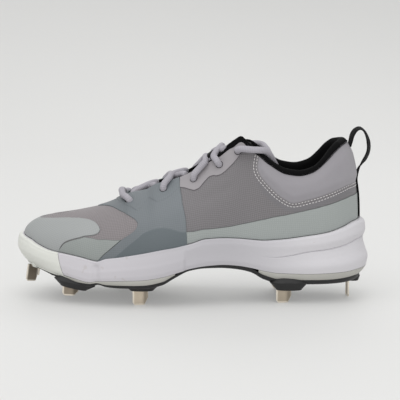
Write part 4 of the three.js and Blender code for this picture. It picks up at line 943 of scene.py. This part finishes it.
def upper():
    alongs = np.unique([*along_of(np.linspace(0, 1, 230)), THROAT])
    station, side = (each[None] for each in ring(alongs))
    along = along_of(station)
    up = np.linspace(0, 1, 64)[:, None]
    grown, seam = relief(station, side, up)
    outer = plain_point(station, side, up, grown)
    values = skin_values(station, up)
    low = np.where(along > REAR_RAND["along"][0], curve(REAR_RAND, "along", "high", along), 9)
    strip = smooth(0.66, 0.72, along) * (3 - np.abs(seam + 3)) * (seam < 0) * (up > low)
    foot = plan_point(station, side, upper_inset(station), sole_height("bed", station) + GAP)
    low_values = {key: value[:2] for key, value in values.items()}
    inner_up = np.linspace(0, 1, 24)[:, None]
    inner = plain_point(station, side, inner_up, -wall_at(along, inner_up))
    grids = [
        grid(outer, wrap=True, collar=seam, strip=strip, **values),
        grid(np.concatenate([foot, outer[:1]]), wrap=True, collar=-9, **low_values),
        grid(inner, wrap=True, material=1, u=values["u"][:1], v=inner_up * 60),
    ]
    grids += [grid(edge_roll(alongs, s), material=1) for s in (-1, 1)]
    mesh_object("upper_shell", grids, [FABRIC, LINING], ["upper"])


upper()


# Bonded layers
SKIN_ROUND, SKIN_SINK = 0.6, 0.12


def skin_height(edge, thick):
    """A skin's height, rounded down to the face and a little into it at a cut edge."""
    near = np.clip(edge / SKIN_ROUND, 0, 1)
    return (thick + SKIN_SINK) * np.sqrt(1 - (1 - near) ** 2) - SKIN_SINK


def layer(name, side, along, up, material, node, slot, thick=0.75, close=(True, True, True, True)):
    """A skin over a grid of places on the face, with its cut edges rounded down.
    close says which of its low, high, first and last borders are cut edges."""
    station, side, up = np.broadcast_arrays(station_of(along), side, up)
    ground, _ = relief(station, side, up)
    flat = plain_point(station, side, up, ground)
    rise, run = lengths(flat, 0), lengths(flat, 1)
    borders = [rise, rise[-1:] - rise, run, run[:, -1:] - run]
    edge = np.minimum.reduce([border if use else border * 0 + 9 for border, use in zip(borders, close)])
    points = plain_point(station, side, up, ground + skin_height(edge, thick))
    skin = grid(points, edge=edge, **skin_values(station, up))
    mesh_object(name, [skin], [material], [node])


def eased(count):
    """Shares from 0 to 1, closer together at both ends."""
    return 0.5 - 0.5 * np.cos(np.linspace(0, np.pi, count))


def eased_along(rows, count):
    return mix(rows["along"][0], rows["along"][-1], eased(count))[None]


def both_sides(count):
    """Shares from 1 on the lateral side through 0 to 1 on the medial one, and the sides."""
    c = np.sin(np.linspace(-np.pi / 2, np.pi / 2, count))
    return np.abs(c), np.where(c < 0, -1.0, 1.0)


def toe_layer():
    share, side = both_sides(300)
    along = along_of(station_of(TOE_LAYER["along"][-1]) * share)[None]
    low, high = curve(TOE_LAYER, "along", "low", along), curve(TOE_LAYER, "along", "high", along)
    up = mix(low, high, eased(70)[:, None])
    borders = (True, True, False, False)
    layer("toe_overlay_skin", side, along, up, TOE_SKIN, "toe_overlay", "grey_film", close=borders)


def front_rand(side, word):
    along = eased_along(FRONT_RAND, 150)
    low, high = curve(FRONT_RAND, "along", "low", along), curve(FRONT_RAND, "along", "high", along)
    up = mix(low, high, eased(50)[:, None])
    node = "front_rand_" + word
    layer("front_rand_skin_" + word, side, along, up, FRONT_RAND_SKIN, node, "grey_film", thick=0.6)


def rear_rand():
    share, side = both_sides(420)
    along = along_of(1 - (1 - station_of(REAR_RAND["along"][0])) * share)[None]
    up = curve(REAR_RAND, "along", "high", along) * eased(46)[:, None]
    layer("rear_rand_skin", side, along, up, REAR_RAND_SKIN, "rear_rand", "grey_film", thick=0.55)


def midfoot_film():
    """The film over the rand, the mesh and the eyestay, open at its foot and over the toe's ridge."""
    pieces = []
    up = eased(110)[:, None] + 0 * eased(150)
    along = mix(curve(FILM, "up", "front", up), curve(FILM, "up", "rear", up), eased(150)[None])
    over_rand = smooth(-0.006, 0.008, curve(RAND_UNDER, "along", "edge", along) - up)
    over_stay = smooth(-0.008, 0.008, up - curve(EYESTAY_UNDER, "along", "edge", along))
    station = station_of(along)
    for side in (-1.0, 1.0):
        ground, _ = relief(station, side, up)
        flat = plain_point(station, side, up, ground)
        rise, run = lengths(flat, 0), lengths(flat, 1)
        open_edge = np.where(along > THROAT, rise[-1:] - rise, 9.0)
        edge = np.minimum.reduce([run, run[:, -1:] - run, open_edge])
        height = ground + skin_height(edge, 0.75) + 0.3 * over_rand + 0.6 * over_stay
        points = plain_point(station, side, up, height)
        pieces.append(grid(points, edge=edge, under=over_rand, **skin_values(station, up)))
    mesh_object("midfoot_film_skin", pieces, [FILM_SKIN], ["midfoot_film"])


def eyestay(side, word):
    along = eased_along(EYESTAY, 150)
    up = mix(curve(EYESTAY, "along", "low", along), 1, eased(50)[:, None])
    node = "eyestay_" + word
    layer("eyestay_skin_" + word, side, along, up, STAY_SKIN, node, "grey_skin", thick=0.8)


toe_layer()
rear_rand()
midfoot_film()
for side, word in ((-1.0, "lateral"), (1.0, "medial")):
    front_rand(side, word)
    eyestay(side, word)


BINDING_START = 0.545
BINDING_WIDTH = 0.032


def binding(side, word):
    """The black edge that is folded over the top of the throat and the collar."""
    along = np.linspace(BINDING_START, 1.0, 260)[None]
    wide = BINDING_WIDTH * smooth(BINDING_START, 0.58, along) * (1 - 0.6 * smooth(0.65, 0.7, along))
    up = 1 - wide * np.linspace(1, 0, 14)[:, None]
    over_stay = 0.8 * (1 - smooth(0.645, 0.66, along))
    station, side, up = np.broadcast_arrays(station_of(along), side, up)
    ground, _ = relief(station, side, up)
    near = np.clip((up - up[:1]) / np.maximum(wide, 1e-4) * 2.5, 0, 1)
    height = ground - 0.1 + (over_stay + 0.7) * np.sqrt(1 - (1 - near) ** 2)
    edge = grid(plain_point(station, side, up, height))
    mesh_object("collar_binding_" + word, [edge], [LINING], [])


binding(-1.0, "lateral")
binding(1.0, "medial")


# Two rows of stitches beside the collar panel's seam
STITCH = 2.3
STITCH_PITCH = 2.7
STITCH_ROWS = 2.3
STITCH_RADIUS = 0.29


def stitch_grid(path, normal):
    """One stitch: a short thread that dips in at both ends."""
    share = np.linspace(-1, 1, len(path))[:, None]
    path = path + normal * (0.02 - 0.25 * share**2)
    across = np.cross(normal, unit(np.gradient(path, axis=0)))[:, None]
    turn = (np.arange(6) * np.pi / 3)[None, :, None]
    size = STITCH_RADIUS * np.array([0.35, 0.9, 1, 0.9, 0.35])[:, None, None]
    return grid(path[:, None] + (np.cos(turn) * across + np.sin(turn) * normal[:, None]) * size, wrap=True)


def evened(values, rows, window=41):
    """A seam's column read finely, with its corners eased."""
    fine = np.interp(rows, np.arange(len(values)), values)
    ends = window // 2
    return np.concatenate([fine[:ends], np.convolve(fine, np.ones(window) / window, "valid"), fine[-ends:]])


def read_along(places, way, points):
    return np.stack([np.interp(places, way, points[:, i]) for i in range(3)], -1)


def stitches():
    rows = np.linspace(0, len(COLLAR_SEAM["up"]) - 1, 900)
    station = evened(station_of(np.array(COLLAR_SEAM["along"])), rows)
    up = evened(COLLAR_SEAM["up"], rows)
    grids = []
    for side in (-1.0, 1.0):
        grown, _ = relief(station, side, up)
        line, normal = face_point(station, side, up), face_normal(station, side, up)
        across = np.cross(normal, unit(np.gradient(line, axis=0)))
        for offset in (-STITCH_ROWS / 2, STITCH_ROWS / 2):
            path = line + normal * (grown + 0.32)[:, None] + across * offset
            way = lengths(path, 0)
            for start in np.arange(1.5, way[-1] - STITCH, STITCH_PITCH):
                at = np.linspace(start, start + STITCH, 5)
                grids.append(stitch_grid(read_along(at, way, path), read_along(at, way, normal)))
    mesh_object("collar_stitches", grids, [THREAD], [], merge=False)


stitches()


# The tongue
TONGUE_START = 0.28
TONGUE_END = 0.655
TONGUE_CROWN = 0.04
TONGUE_ROLL = 1.7


def tongue_wing(along, side, up, depth):
    station = station_of(along)
    return plain_point(station, side, up, -(wall_at(along, up) + TONGUE_GAP + depth))


def tongue_bridge(along, share, depth=0.0):
    """Points over the throat, share of the way across from the lateral side."""
    station = station_of(along)
    a, d = (tongue_wing(along, side, 1.0, depth) for side in (-1.0, 1.0))
    rise = [unit(face_point(station, side, 1.0) - face_point(station, side, 0.95)) for side in (-1.0, 1.0)]
    crown = np.linalg.norm(d - a, axis=-1, keepdims=True) * TONGUE_CROWN
    b, c = a + rise[0] * crown, d + rise[1] * crown
    t = np.asarray(share, float)[..., None]
    s = 1 - t
    return a * s**3 + 3 * b * s * s * t + 3 * c * s * t * t + d * t**3


def over_tongue(along, share, height):
    along, share = np.float64(along), np.float64(share)
    point = tongue_bridge(along, share)
    across = tongue_bridge(along, share + 0.01) - tongue_bridge(along, share - 0.01)
    run = tongue_bridge(along + 0.01, share) - tongue_bridge(along - 0.01, share)
    return point + unit(np.cross(run, across)) * height


def tongue_chain(along, depth):
    wing = np.linspace(0.6, 1, 9)[:, None]
    share = np.linspace(0, 1, 31)[1:-1, None]
    lateral, medial = tongue_wing(along, -1.0, wing, depth), tongue_wing(along, 1.0, wing[::-1], depth)
    return np.concatenate([lateral, tongue_bridge(along, share, depth), medial])


def tongue():
    along = np.linspace(TONGUE_START, TONGUE_END, 110)[None]
    top, under = tongue_chain(along, 0.0), tongue_chain(along, TONGUE_WALL)
    u, v = lengths(top, 0), lengths(top, 1)
    grids = [grid(top, u=u, v=v), grid(under, u=u, v=v)]
    grids += [grid(np.stack([top[row], under[row]]), u=u[row], v=v[row]) for row in (0, -1)]
    middle, half = (top[:, -1] + under[:, -1]) / 2, (top[:, -1] - under[:, -1]) / 2
    rearward = unit(top[:, -1] - top[:, -3])
    turn = np.linspace(0, np.pi, 9)[:, None, None]
    roll = middle + half * np.cos(turn) + rearward * TONGUE_ROLL * np.sin(turn)
    grids.append(grid(roll, u=u[:, -1][None], v=v[:, -1][None]))
    mesh_object("tongue_pad", grids, [LINING], ["tongue"])


tongue()


def insole():
    station, side = ring(along_of(np.linspace(0, 1, 160)))
    inset = upper_inset(station) + UPPER_WALL + 2 * GAP
    bed = sole_height("bed", station) + GAP

    def line(side, inward, high):
        return plan_point(station, side, inset + INSOLE_THICK * inward, bed + INSOLE_THICK * high)

    shoulder, other = line(side, 0.2, 1), line(-side, 0.2, 1)
    top = [mix(shoulder, (shoulder + other) / 2, t) for t in np.linspace(0, 1, 8)]
    points = np.stack([line(side, 0.15, 0), line(side, 0, 0.4), *top])
    board = grid(points, wrap=True, u=points[..., 0], v=points[..., 1])
    mesh_object("insole_board", [board], [LINING], ["insole"])


insole()


# Midsole, its chassis and the plate
FOAM_TURN = 9.0  # how far the foam goes in under itself
SHOULDER = SIDE["level"][0]
ROUND_LEVELS = SHOULDER * (1 - np.cos(np.linspace(0, np.pi / 2, 9)))
SIDE_LEVELS = np.concatenate([ROUND_LEVELS, np.linspace(SHOULDER, 1, 96)[1:]])


def bumper_wall(level):
    return BUMPER_WALL * mix(0.5, 1, smooth(0, 0.3, level))


def side_inset(along, level):
    zone = {key: curve(SIDE, "level", key, level) for key in ("toe", "fore", "arch", "heel")}
    share = mix(zone["toe"], zone["fore"], smooth(0.02, 0.17, along))
    share = mix(share, zone["arch"], smooth(ARCH_BREAK, ARCH_BREAK + 0.012, along))
    share = mix(share, zone["heel"], smooth(ARCH_END + 0.03, 0.95, along))
    notch = 0.16 * bell(FLEX_NOTCH, 0.016, along) * smooth(0.05, 0.3, level)
    line = 0.53 - 0.115 * smooth(0.72, 0.84, along) - 0.05 * smooth(0.93, 1.0, along)
    groove = 0.13 * bell(line, 0.022, level) * smooth(0.68, 0.8, along)
    return FLARE * (share + notch + groove)


def side_point(station, side, level, cut_back=0.0):
    """The midsole's outer side, down from its lip at level 0 to its base at 1."""
    station, side, level, cut_back = np.broadcast_arrays(station, side, level, cut_back)
    along = along_of(station)
    along = along + SEAM_SLANT * (level - 0.5) * bell(BUMPER_END, 0.06, along)
    place = station_of(along)
    height = mix(sole_height("lip", place), sole_height("base", place), level)
    inset = side_inset(along, level)
    front = along_of(station) < BUMPER_END + 3 * SEAM_STEP
    lip = upper_inset(place) - GAP - LIP_WALL * np.where(front, 0.7, 1)
    lip = lip - np.where(front, GAP + bumper_wall(0.0), 0)
    away = np.clip(1 - level / SHOULDER, 0, 1)
    inset = inset + (lip - inset) * (1 - np.sqrt(1 - away**2)) * (level < SHOULDER)
    return plan_point(place, side, inset + cut_back, height)


def midsole():
    closer = [
        along_of(np.linspace(0, 1, 300)),
        np.linspace(BUMPER_END - 0.002, BUMPER_END + 0.012, 22),
        np.linspace(ARCH_BREAK - 0.002, ARCH_BREAK + 0.014, 18),
        np.linspace(FLEX_NOTCH - 0.018, FLEX_NOTCH + 0.018, 24),
    ]
    station, side = ring(np.unique(np.concatenate(closer)))
    along = along_of(station)
    behind = smooth(BUMPER_END + 0.4 * SEAM_STEP, BUMPER_END + 1.6 * SEAM_STEP, along)
    cup = upper_inset(station) - GAP
    bed, base = sole_height("bed", station), sole_height("base", station) + GAP / 8
    rows = [
        plan_point(station, side, cup + UPPER_WALL, bed),
        plan_point(station, side, cup, bed + GAP),
        plan_point(station, side, cup, sole_height("lip", station)),
    ]
    for level in SIDE_LEVELS:
        rows.append(side_point(station, side, level, (bumper_wall(level) + GAP / 3) * (1 - behind)))
    rows[-1][..., 2] = base
    rows.append(plan_point(station, side, side_inset(along, 1.0) + FOAM_TURN, base))
    shell = grid(np.stack(rows), wrap=True, s=along)
    mesh_object("midsole_foam", [shell], [FOAM], ["midsole"])


midsole()

SPIKES = table("name along out turn lean seat tip wing long wide taper", [
    ["toe_lateral", 0.052, -0.07, 38, 9, 0.31, 1.12, 0.71, 0.89, 0.61, 0.8],
    ["toe_medial", 0.052, 0.2, 38, 9, 0.31, 1.12, 0.71, 0.89, 0.61, 0.8],
    ["front_lateral", 0.162, -0.29, 8, 4, 0.01, 0.49, 0.71, 1.78, 0.89, 0.6],
    ["front_medial", 0.15, 0.31, 8, 4, 0.01, 0.49, 0.71, 1.78, 0.83, 0.6],
    ["ball_lateral", 0.358, -0.37, 10, 0, 0, 0, 0.71, 1.67, 0.89, 0.66],
    ["ball_medial", 0.305, 0.36, 10, 0, 0, 0, 0.71, 1.67, 0.89, 0.66],
    ["heel_lateral", 0.757, -0.285, 6, 0, -0.03, 0, 0.71, 2, 0.89, 0.62],
    ["heel_medial", 0.757, 0.265, 6, 0, -0.03, 0, 0.71, 2, 0.89, 0.62],
    ["heel_rear", 0.945, 0, 90, 0, 0.03, 0, 0.16, 0.78, 0.89, 0.8],
])
BLADE_WIDTH = 9.0
BLADE_THICK = 1.5
BLADE_ROOT = 2.4
BLADE_BEND = 1.2
BEND_AT = BLADE_WIDTH * 0.22
BEND_FROM = BEND_AT - BLADE_WIDTH


# Painted shade on the blades' faces, where their inner sides turn from the light: how dark, by kind.
BLADE_FACE_SHADE = {"toe": 0.6, "front": 0.6, "ball": 0.15, "heel": 0.35}  # how dark the blades' faces are


def spikes():
    return [dict(zip(SPIKES, row)) for row in zip(*SPIKES.values())]


def kind_of(spike):
    return spike["name"].split("_")[0]


def seat_height(spike):
    return SPIKE_DROP + SOLE_STACK * spike["seat"]


def placed(points, spike, turn):
    """Points about a spike's seat, set at its place and mirrored on the medial side."""
    a, b = math.radians(turn), math.radians(spike["lean"])
    about_z = np.array([[math.cos(a), -math.sin(a), 0], [math.sin(a), math.cos(a), 0], [0, 0, 1]])
    about_y = np.array([[math.cos(b), 0, math.sin(b)], [0, 1, 0], [-math.sin(b), 0, math.cos(b)]])
    mirror = np.diag([1, -1 if spike["out"] > 0 else 1, 1])
    place = np.array([spike["along"] * LENGTH, spike["out"] * BALL_WIDTH, seat_height(spike)])
    return points @ (about_y @ mirror @ about_z).T + place


BOSS_ROUND = 0.12
# How far back each seat stands from its spike in millimetres, its tilt in degrees and its length's share
BOSS_MOVE = {"toe": (2.5, 0, 0.7), "front": (2.2, 9, 1.1), "ball": (1.0, 0, 0.95), "heel": (4.0, 0, 0.92)}


def boss_grid(spike, root):
    """A spike's seat: a low oval boss with a flat foot, its root sunk into the plate."""
    shift, lean, longer = BOSS_MOVE[kind_of(spike)]
    spike = dict(spike, along=spike["along"] + shift / LENGTH, lean=spike["lean"] + lean)
    height = float(sole_height("plate", station_of(spike["along"]))) - seat_height(spike) + root
    turn = 2 * np.pi * np.arange(48) / 48
    x = rounded(np.cos(turn), 0.8) * BLADE_WIDTH * spike["long"] * longer
    y = rounded(np.sin(turn), 0.8) * BLADE_WIDTH * spike["wide"]
    foot = mix(spike["taper"], 1, BOSS_ROUND)
    rows = [(0.7, height + 5), (0.88, height + 2)]
    rows += [(mix(spike["taper"], 1, z), z * height) for z in np.linspace(1, BOSS_ROUND, 8)]
    for k in np.linspace(0, np.pi / 2, 6)[1:]:
        rows.append((foot - 0.06 * (1 - math.cos(k)), BOSS_ROUND * height * (1 - math.sin(k))))
    rows += [(spike["taper"] * 0.5, 0.0), (0.0, 0.0)]
    points = [np.stack([x * share, y * share, x * 0 + z], -1) for share, z in rows]
    return grid(placed(np.stack(points), spike, 0), wrap=True)


def blade_line(spike):
    """A blade in plan: straight, then turned back. Its points, their sides and the way along it."""
    flat = np.linspace(0, BLADE_WIDTH - BLADE_BEND, 20)
    way = [*(0.8 * eased(9)[:-1]), *flat[flat > 0.8]]
    points = [np.array([BEND_FROM + k, 0.0]) for k in way]
    heading = [0.0] * len(way)
    here, step = np.array([BEND_FROM + flat[-1], 0.0]), BLADE_BEND * 2 / 8
    for turn in np.arange(1, 9) * math.pi / 32:
        here = here + np.array([math.cos(turn), math.sin(turn)]) * step
        points.append(here)
        heading.append(turn)
        way.append(way[-1] + step)
    rest = max(BLADE_WIDTH * spike["wing"] - BLADE_BEND, 0.3)
    for k in 0.02 + 0.98 * (1 - (1 - np.linspace(0, 1, 14)) ** 1.8):
        points.append(here + np.array([math.cos(turn), math.sin(turn)]) * rest * k)
        heading.append(turn)
        way.append(BLADE_WIDTH + BLADE_BEND + rest * k)
    heading = np.array(heading)
    return np.array(points), np.stack([-np.sin(heading), np.cos(heading)], -1), np.array(way)


def blade_grids(spike):
    """A steel blade with one side turned back and rounded edges."""
    drop = seat_height(spike) - SPIKE_DROP * spike["tip"]
    points, normal, way = blade_line(spike)
    wing_from = BLADE_WIDTH * (1 + 0.2 * spike["wing"])
    first = np.clip(1 - way / (0.2 * BLADE_WIDTH), 0, 1)
    last = np.clip((way - wing_from) / max(way[-1] - wing_from, 0.1), 0, 1)
    low = -drop + 0.25 * BLADE_WIDTH * first + 0.45 * drop * last * (spike["wing"] > 0.3)
    z = mix(BLADE_ROOT, low[None], (1 - (1 - np.linspace(0, 1, 26)) ** 1.6)[:, None])
    edge = np.minimum(np.minimum(way, way[-1] - way)[None], z - low[None])
    half = BLADE_THICK / 2 * np.sqrt(1 - (1 - np.clip(edge / 0.5, 0, 1)) ** 2)
    grids = []
    for sign in (-1, 1):
        x, y = (points[:, i] + sign * half * normal[:, i] for i in (0, 1))
        face = placed(np.stack([x, y, z], -1), spike, spike["turn"])
        # each face carries its kind's painted shade as an attribute
        grids.append(grid(face, edge=edge, hollow=BLADE_FACE_SHADE[kind_of(spike)]))
    return grids


RIM_TURN = 7.0
RIM_BULGE = 0.5


def rim_rows(station, side, foot):
    """The rim layer from the midsole's foot down to its lower edge, and its way in over the plate."""
    inset, height = FLARE * follow(SOLE, "rimIn", station), sole_height("rim", station) + GAP / 2
    rim, inner = (plan_point(station, side, inset + more, height) for more in (0, RIM_TURN))
    outward = outward_of(station, side) * RIM_BULGE
    rows = [mix(foot, rim, t) + outward * math.sin(math.pi * t) for t in np.linspace(0, 1, 9)]
    return np.stack([*rows, mix(rim, inner, 0.5), inner])


def chassis_front():
    share = np.linspace(-1, 1, 400)
    station, side = station_of(FRONT_CHASSIS_END) * np.abs(share), np.where(share < 0, -1.0, 1.0)
    foot = side_point(station, side, 1.0)
    foot[..., 2] -= GAP / 2
    # rear: painted shade greys the rim behind the toe bumper, where it faces down
    rear = smooth(0.12, 0.16, along_of(station))
    grids = [grid(rim_rows(station, side, foot), rear=rear)]

    share, side = both_sides(240)
    station = station_of(BUMPER_END) * share
    away = np.clip((BUMPER_END - along_of(station)) * LENGTH, 0, 1)
    round_end = 0.25 * (1 - np.sqrt(1 - (1 - away) ** 2))
    rows = [side_point(station, side, 0.0, bumper_wall(0.0))]
    rows += [side_point(station, side, level, round_end) for level in SIDE_LEVELS]
    grids.append(grid(np.stack(rows)))
    for i in (0, -1):
        depth = np.array([[round_end[i], 2.4]])
        grids.append(grid(side_point(station[[i, i]], side[[i, i]], SIDE_LEVELS[:, None], depth)))
    grids += [boss_grid(spike, 3.2) for spike in spikes() if kind_of(spike) == "toe"]
    mesh_object("front_chassis_shell", grids, [RIM_PLASTIC], ["chassis_front"], sharp=50)


def chassis_heel():
    share = np.linspace(-1, 1, 240)
    station = 1 - (1 - station_of(HEEL_CHASSIS_START)) * np.abs(share)
    side = np.where(share < 0, -1.0, 1.0)
    foot = side_point(station, side, 1.0)
    foot[..., 2] = sole_height("base", station) - GAP / 2
    # the heel rim is greyed all along by painted shade, as it faces down
    rim = grid(rim_rows(station, side, foot), rear=1.0)
    mesh_object("heel_chassis_shell", [rim], [RIM_PLASTIC], ["chassis_heel"])


RIBLETS = {
    "along": [0.105, 0.19, 0.205, 0.29, 0.315, 0.34, 0.365, 0.82, 0.85, 0.88],
    "start": [-0.12, -0.1, -0.1, -0.22, -0.2, -0.18, -0.14, -0.14, -0.12, -0.1],
    "end": [0.2, 0.14, 0.14, 0.18, 0.16, 0.14, 0.16, 0.14, 0.12, 0.1],
}


RIBLET_RADIUS = 1.6


def plate():
    station, side = ring(along_of(np.linspace(0, 1, 260)))
    top, bottom = sole_height("rim", station) - GAP / 2, sole_height("plate", station)
    rim_in = FLARE * follow(SOLE, "rimIn", station) + PLATE_TUCK
    plate_in = FLARE * follow(SOLE, "plateIn", station)
    rows = []
    for t in np.linspace(0, 1, 10):
        rows.append(plan_point(station, side, mix(rim_in, plate_in, t**2.2), mix(top, bottom, t**0.8)))
    middle = (rows[-1] + plan_point(station, -side, plate_in, bottom)) / 2
    rows += [mix(rows[-1], middle, t) for t in np.linspace(0, 1, 12)[1:]]
    grids = [grid(np.stack(rows), wrap=True)]
    for along, start, end in zip(*RIBLETS.values()):
        y = np.linspace(start, end, 12) * BALL_WIDTH
        height = float(sole_height("plate", station_of(along)))
        grids += tube_grids(np.stack([y * 0 + along * LENGTH, y, y * 0 + height], -1), RIBLET_RADIUS)
    grids += [boss_grid(spike, 1.6) for spike in spikes() if kind_of(spike) != "toe"]
    mesh_object("plate_shell", grids, [BLACK_PLASTIC], ["outsole_plate"], sharp=50)


chassis_front()
chassis_heel()
plate()
for spike in spikes():
    name = "spike_" + spike["name"]
    mesh_object(name + "_blade", blade_grids(spike), [STEEL], [name], sharp=60)


# Laces through the eyelets
LIFT = 3.9
EDGE_LIFT = 3.4  # the lace's middle over the throat's edge
LEAN = [0, 0.017, 0.034, -0.012]  # how far back each strand meets the throat's edge


def face_spot(along, side, up, height):
    return plain_point(station_of(np.float64(along)), side, np.float64(up), np.float64(height))


def eyelet(k):
    return EYELETS["along"][k], EYELETS["up"][k]


def strand(k, side):
    """From an eyelet over the throat's edge, across the tongue and in under the far edge."""
    along, up = eyelet(k)
    to = EYELETS["along"][k + 1] - (0.012 if k == 3 else 0)
    far = 0.78 if side < 0 else 0.22
    near = 1 - far
    low = GAP + LACE / 2
    over = 0.4 * LACE if side < 0 else 0.0
    lean = LEAN[k]
    if k == 0:
        outer = over_tongue(along + 0.006, mix(near, round(near), 0.8), low - 1.5)
        start = [outer, over_tongue(along + 0.012, near, low)]
        middle = mix(along, to, 0.55)
    else:
        start = [face_spot(along, side, up, height) for height in (-1.2, 1.5)]
        steps = ((0.15, 0.2, 3.9), (0.55, 0.6, LIFT), (1, 1, EDGE_LIFT))
        start += [face_spot(along + a * lean, side, mix(up, 1, b), height) for a, b, height in steps]
        middle = max(mix(along, to, 0.32), along + lean + 0.004)
    end = [
        over_tongue(middle, 0.5, low + over),
        over_tongue(to - 0.03, far, low),
        over_tongue(to - 0.024, mix(far, round(far), 0.7), low - 1.0),
    ]
    return smooth_path(start + end, 1.0)


def front_bar():
    """The first crossing, straight from one eyelet to the other over the throat's front."""
    along, up = eyelet(0)
    steps = (
        (0.004, up - 0.02, -1.2), (0.004, up - 0.02, 1.6), (-0.001, up + 0.01, 3.8),
        (-0.009, mix(up, 1, 0.3), LIFT + 0.3), (-0.0145, mix(up, 1, 0.65), LIFT + 0.9),
    )
    lateral = [face_spot(along + a, -1.0, b, height) for a, b, height in steps]
    medial = [face_spot(along + a, 1.0, b, height) for a, b, height in steps]
    middle = face_spot(along - 0.0165, -1.0, 1.0, LIFT + 1.0)
    return smooth_path([*lateral, middle, *medial[::-1]], 1.0)


def top_turn(side, points):
    """The short stretch between the top eyelet and the free end."""
    along, up = eyelet(4)
    first, second = np.array(points[0]), np.array(points[1])
    start = [face_spot(along, side, up, -1.2), face_spot(along, side, up, 1.2)]
    return smooth_path([*start, first, mix(first, second, 0.3)], 0.7)


def hole_grid(k, side):
    """A punched eyelet: a dark round spot just over the layer."""
    along, up = eyelet(k)
    station = station_of(along)
    middle, normal = face_point(station, side, up), face_normal(station, side, up)
    run = unit(face_point(station + STEP, side, up) - face_point(station - STEP, side, up))
    turn = (2 * np.pi * np.arange(24) / 24)[:, None]
    rim = np.cos(turn) * run + np.sin(turn) * np.cross(normal, run)
    stand = 1.35 if k < 2 else 0.95
    rows = [middle + rim * r + normal * (stand + h) for r, h in ((3.3, 0), (2.6, 0.08), (0, 0.02))]
    return grid(np.stack(rows), wrap=True)


def laces():
    bar = tube_grids(front_bar(), LACE / 2, start=(1, 0, 0))
    mesh_object("lace_front_bar", bar, [BRAID], ["lace_bar"])
    for k in range(4):
        grids = tube_grids(strand(k, -1.0), LACE / 2) + tube_grids(strand(k, 1.0), LACE / 2)
        name = f"lace_crossing_{k + 1}"
        mesh_object(name, grids, [BRAID], [f"lace_cross_{k + 1}"], merge=False)
    turns = [top_turn(-1.0, LATERAL_END), top_turn(1.0, MEDIAL_END)]
    turns = [piece for path in turns for piece in tube_grids(path, LACE / 2)]
    mesh_object("lace_top_turns", turns, [BRAID], [], merge=False)
    holes = [hole_grid(k, side) for k in range(5) for side in (-1.0, 1.0)]
    mesh_object("eyelet_holes", holes, [LINING], [], merge=False)


laces()

# The keeper on the tongue and the pull loop at the heel
KEEPER = {
    "share": [0.06, 0.07, 0.14, 0.3, 0.42, 0.5, 0.58, 0.63, 0.64],
    "height": [0.6, 3.6, 5.6, 5.8, 5.6, 5.5, 5, 3.4, 1],
}
KEEPER_AT = 0.5585
KEEPER_WIDTH = 7.0
KEEPER_THICK = 1.3
LOOP_WIDTH = 10.0
LOOP_THICK = 1.4
LOOP_SEWN = (0.48, 0.4, 0.3, 0.2, 0.1, 0.015)
LOOP_TWIST = {"way": [0, 12, 22, 34, 50, 60], "degrees": [10, 15, 6, 22, 24, 0]}
LOOP = {
    "along": [0.9435, 0.9475, 0.952, 0.961, 0.9725, 0.983, 0.9925, 0.9985, 0.9975, 0.99, 0.9785, 0.9705],
    "rise": [0.9, 0.96, 1.025, 1.075, 1.094, 1.072, 1.012, 0.92, 0.845, 0.775, 0.71, 0.66],
}


def keeper():
    spots = [over_tongue(KEEPER_AT, share, GAP + height) for share, height in zip(*KEEPER.values())]
    run = unit(over_tongue(KEEPER_AT + 0.01, 0.5, 0) - over_tongue(KEEPER_AT - 0.01, 0.5, 0))
    tape = tape_grids(smooth_path(spots, 0.7), run * KEEPER_WIDTH / 2, KEEPER_THICK)
    mesh_object("lace_keeper_tape", tape, [WEBBING], ["lace_keeper"])


def pull_loop():
    """A loop of webbing over the heel, its strap sewn down to the midsole."""
    centre = float(follow(RIDGE, "shift", 1.0)) * BALL_WIDTH
    free = [(a * LENGTH, centre, LIP_DATUM + UPPER_RISE * r) for a, r in zip(*LOOP.values())]
    sewn = [face_spot(1.0, -1.0, up, 1.35 if up < 0.4 else 1.1) for up in LOOP_SEWN]
    path = smooth_path([*free, *sewn], 1.0)
    twist = np.radians(np.interp(lengths(path, 0), *LOOP_TWIST.values()))
    tape = tape_grids(path, (0, LOOP_WIDTH / 2, 0), LOOP_THICK, twist)
    mesh_object("pull_loop_tape", tape, [WEBBING], ["pull_loop"])


keeper()
pull_loop()
